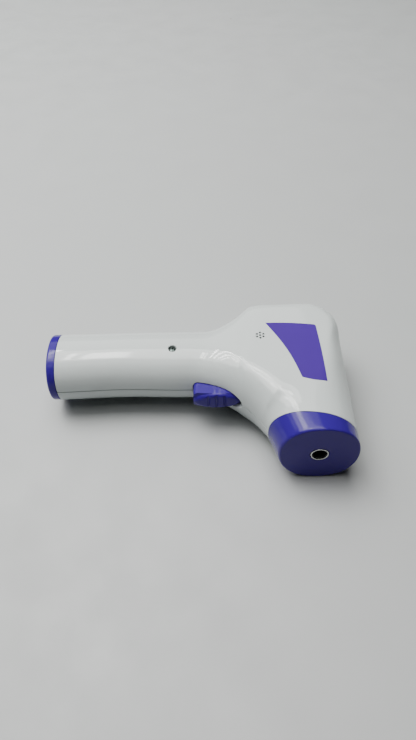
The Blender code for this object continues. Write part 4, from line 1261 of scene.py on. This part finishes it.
class THERMO_OT_keys(bpy.types.Operator):
    """Build the three round keys, each with a shallow dish and a rounded rim"""

    bl_idname = "thermo.keys"
    bl_label = "Keys"

    def execute(self, context):
        for name in key_names():
            low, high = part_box(name)
            centre = (low + high) / 2
            flange = (high.x - low.x) / 2
            top = high.y
            seat = Y_REAR - KEY_FLANGE_DEPTH
            rings = [(low.y, 0.4 * KEY_STEM), (low.y, KEY_STEM), (seat, KEY_STEM), (seat, flange)]
            rings += [(seat + KEY_FLANGE, flange), (seat + KEY_FLANGE, KEY_RADIUS)]
            for fall, inward in quarter(5):
                rings.append((top - KEY_ROUND * fall, KEY_RADIUS - KEY_ROUND * inward))
            for share in (0.8, 0.55, 0.3, 0.05):
                rings.append((top - KEY_DISH * (1 - share ** 2), (KEY_RADIUS - KEY_ROUND) * share))
            mesh = skin(turned(rings, "y", (centre.x, 0, centre.z), 56))
            settle(make_piece(name + "_top", mesh, violet_abs()), name, "purple_trim", name)
        return {"FINISHED"}


class THERMO_OT_screw(bpy.types.Operator):
    """Build the recessed screw's domed head with a cross recess"""

    bl_idname = "thermo.screw"
    bl_label = "Screw"

    def execute(self, context):
        radius = SCREW_RADIUS
        top = side_height(SCREW.x, SCREW.y) - look().screw_depth
        seat = SCREW_HIGH.z - SCREW_HEAD
        shank = SCREW_SHANK
        outline = [(SCREW_LOW.z, shank / 2), (SCREW_LOW.z + shank, shank), (seat, shank)]
        outline += [(seat, radius - 0.0001), (seat + 0.0001, radius)]
        outline += [(top - SCREW_CROWN * fall, radius * (1 - inward)) for fall, inward in quarter(8)[:-1]]
        mesh = skin(turned(outline, "z", (SCREW.x, SCREW.y, 0), 48))
        piece = make_piece("screw_head", mesh, finish_of("screw_metal"))
        for reach, across in ((CROSS_REACH, CROSS_WIDTH), (CROSS_WIDTH, CROSS_REACH)):
            corners = ((-1, -1), (1, -1), (1, 1), (-1, 1))
            arm = [(SCREW.x + x * reach, SCREW.y + y * across) for x, y in corners]
            carve(piece, [prism(arm, "z", top - CROSS_DEPTH, top + CROSS_DEPTH)])
        settle(piece, "housing", "screw_metal", "grip_screw")
        return {"FINISHED"}


# Inner parts and stage ------------------------------------------------------------------------------


def finish_of(slot):
    """Return the material for the frame nodes that stay as they are, by their slot."""
    finishes = {
        "black_plastic": lambda: plastic("Matt black nylon", (0.018, 0.018, 0.020), 0.42, 0.62, grain=0.7),
        "bezel_plastic": lambda: plastic("Gloss black bezel", (0.014, 0.014, 0.016), 0.08, 0.20),
        "board": circuit_board,
        "can_metal": lambda: metal("Pressed can", (0.62, 0.62, 0.60), 0.28, 0.42),
        "cell_sleeve": cell_sleeve,
        "spring_steel": lambda: metal("Nickel-plated steel", (0.55, 0.56, 0.56), 0.25, 0.40),
        "lcd": lambda: plastic("Grey display panel", (0.36, 0.42, 0.36), 0.20, 0.28, 0.95, 0.6, 3200.0),
        "milky_plastic": lambda: plastic("Milky light guide", (0.86, 0.88, 0.85), 0.30, 0.45),
        "grey_cable": lambda: plastic("Grey cable", (0.30, 0.31, 0.33), 0.40, 0.60),
        "red_cable": lambda: plastic("Red wire", (0.45, 0.02, 0.015), 0.35, 0.55),
        "black_cable": lambda: plastic("Black wire", (0.015, 0.015, 0.017), 0.35, 0.55),
        "purple_trim": violet_abs,
        "white_shell": white_abs,
        "label": label_film,
        "sensor_metal": lambda: metal("Bright turned ring", (0.78, 0.78, 0.77), 0.16, 0.32, "Y"),
        # Partly the screw's own grey-green zinc, partly painted shade: the head is darker than the metal
        # to stand in for the shade down in its recess.
        "screw_metal": lambda: metal("Dark zinc screw", (0.13, 0.165, 0.155), 0.34, 0.50),
        "window": clear_window,
    }
    return finishes[slot]()


class THERMO_OT_inner_parts(bpy.types.Operator):
    """Give the boards, switches, cells, contacts and wires their finishes"""

    bl_idname = "thermo.inner_parts"
    bl_label = "Inner Parts"

    def execute(self, context):
        slots = {entry["node"]: entry["material_slot"] for entry in frame["record"]["subparts"]}
        for name, thing in frame["nodes"].items():
            if thing.hide_render:
                continue
            thing.data.materials.clear()
            thing.data.materials.append(finish_of(slots[name]))
        return {"FINISHED"}


class THERMO_OT_stage(bpy.types.Operator):
    """Set the table, the room light, the lights and the camera"""

    bl_idname = "thermo.stage"
    bl_label = "Stage"

    def execute(self, context):
        self.make_table()
        self.make_lights()
        self.make_camera()
        return {"FINISHED"}

    def make_table(self):
        half = 4.0
        mesh = bmesh.new()
        mesh.faces.new([mesh.verts.new(corner) for corner in
                        ((-half, -half, 0), (half, -half, 0), (half, half, 0), (-half, half, 0))])
        table = make_piece("table", mesh, table_top())
        table.location.z = LEFT_LOW.z - 0.00002

    def make_lights(self):
        world = bpy.data.worlds.new("room")
        world.use_nodes = True
        background = world.node_tree.nodes["Background"]
        background.inputs["Color"].default_value = (0.93, 0.97, 1.0, 1.0)
        background.inputs["Strength"].default_value = stage().ambient
        bpy.context.scene.world = world
        self.add_panel("overhead", (-1.15, 0.28), (-0.06, 0.66), stage().overhead)
        self.add_panel("overhead_front", (-1.15, 0.28), (-0.50, -0.06), stage().overhead * 0.25)
        self.add_panel("overhead_back", (-1.80, 0.28), (0.62, 2.0), stage().overhead * 0.28)
        tubes = (((-0.285, -0.205), (0.02, 0.42), 0.5), ((-0.335, -0.312), (0.02, 0.42), 0.5))
        tubes += tuple(((x, x + 0.022), (0.12, 0.78), 1.0) for x in (-0.43, -0.51, -0.59, -0.67))
        for index, (across, along, share) in enumerate(tubes):
            self.add_panel(f"tube_{index}", across, along, stage().tubes * share, TUBE_HEIGHT)

    def add_panel(self, name, across, along, radiance, height=PANEL_HEIGHT):
        """Hang a light that faces down, with its X and Y limits and its brightness."""
        light = bpy.data.lights.new(name, "AREA")
        light.shape = "RECTANGLE"
        light.size = across[1] - across[0]
        light.size_y = along[1] - along[0]
        light.energy = radiance * math.pi * light.size * light.size_y
        light.color = (1.0, 0.99, 0.97)
        lamp = bpy.data.objects.new(name, light)
        lamp.location = (sum(across) / 2, sum(along) / 2, height)
        bpy.context.scene.collection.objects.link(lamp)

    def make_camera(self):
        settings = stage()
        camera = bpy.data.cameras.new("camera")
        camera.lens = settings.lens
        camera.sensor_width = 36.0
        camera.clip_start = 0.01
        holder = bpy.data.objects.new("camera", camera)
        bpy.context.scene.collection.objects.link(holder)
        foot = Vector((REST_X, 0, 0))
        lean = Matrix.Rotation(settings.camera_roll, 4, "Y")
        lean = Matrix.Translation(foot) @ lean @ Matrix.Translation(-foot)
        aim = Matrix.Translation(settings.camera_place) @ Matrix.Rotation(settings.camera_pitch, 4, "X")
        holder.matrix_world = lean @ aim
        bpy.context.scene.camera = holder


class THERMO_PT_panel(bpy.types.Panel):
    """Sizes, colours and build steps of the thermometer"""

    bl_idname = "THERMO_PT_panel"
    bl_label = "Thermometer"
    bl_space_type = "VIEW_3D"
    bl_region_type = "UI"
    bl_category = "Thermometer"

    def draw(self, context):
        layout = self.layout
        for settings in (look(), stage()):
            box = layout.box()
            for name in settings.__annotations__:
                box.prop(settings, name)
        for step in STEPS:
            layout.operator(step.bl_idname)


STEPS = (
    THERMO_OT_housing,
    THERMO_OT_nose,
    THERMO_OT_sensor,
    THERMO_OT_end_cap,
    THERMO_OT_trigger,
    THERMO_OT_label,
    THERMO_OT_display,
    THERMO_OT_keys,
    THERMO_OT_screw,
    THERMO_OT_inner_parts,
    THERMO_OT_stage,
)
CLASSES = (ThermometerLook, ThermometerStage, *STEPS, THERMO_PT_panel)


def register():
    for kind in CLASSES:
        bpy.utils.register_class(kind)
    bpy.types.Scene.thermometer_look = PointerProperty(type=ThermometerLook)
    bpy.types.Scene.thermometer_stage = PointerProperty(type=ThermometerStage)


def unregister():
    del bpy.types.Scene.thermometer_stage
    del bpy.types.Scene.thermometer_look
    for kind in reversed(CLASSES):
        bpy.utils.unregister_class(kind)


def main():
    register()
    bpy.ops.thermo.housing()
    bpy.ops.thermo.nose()
    bpy.ops.thermo.sensor()
    bpy.ops.thermo.end_cap()
    bpy.ops.thermo.trigger()
    bpy.ops.thermo.label()
    bpy.ops.thermo.display()
    bpy.ops.thermo.keys()
    bpy.ops.thermo.screw()
    bpy.ops.thermo.inner_parts()
    bpy.ops.thermo.stage()


if __name__ == "__main__":
    main()
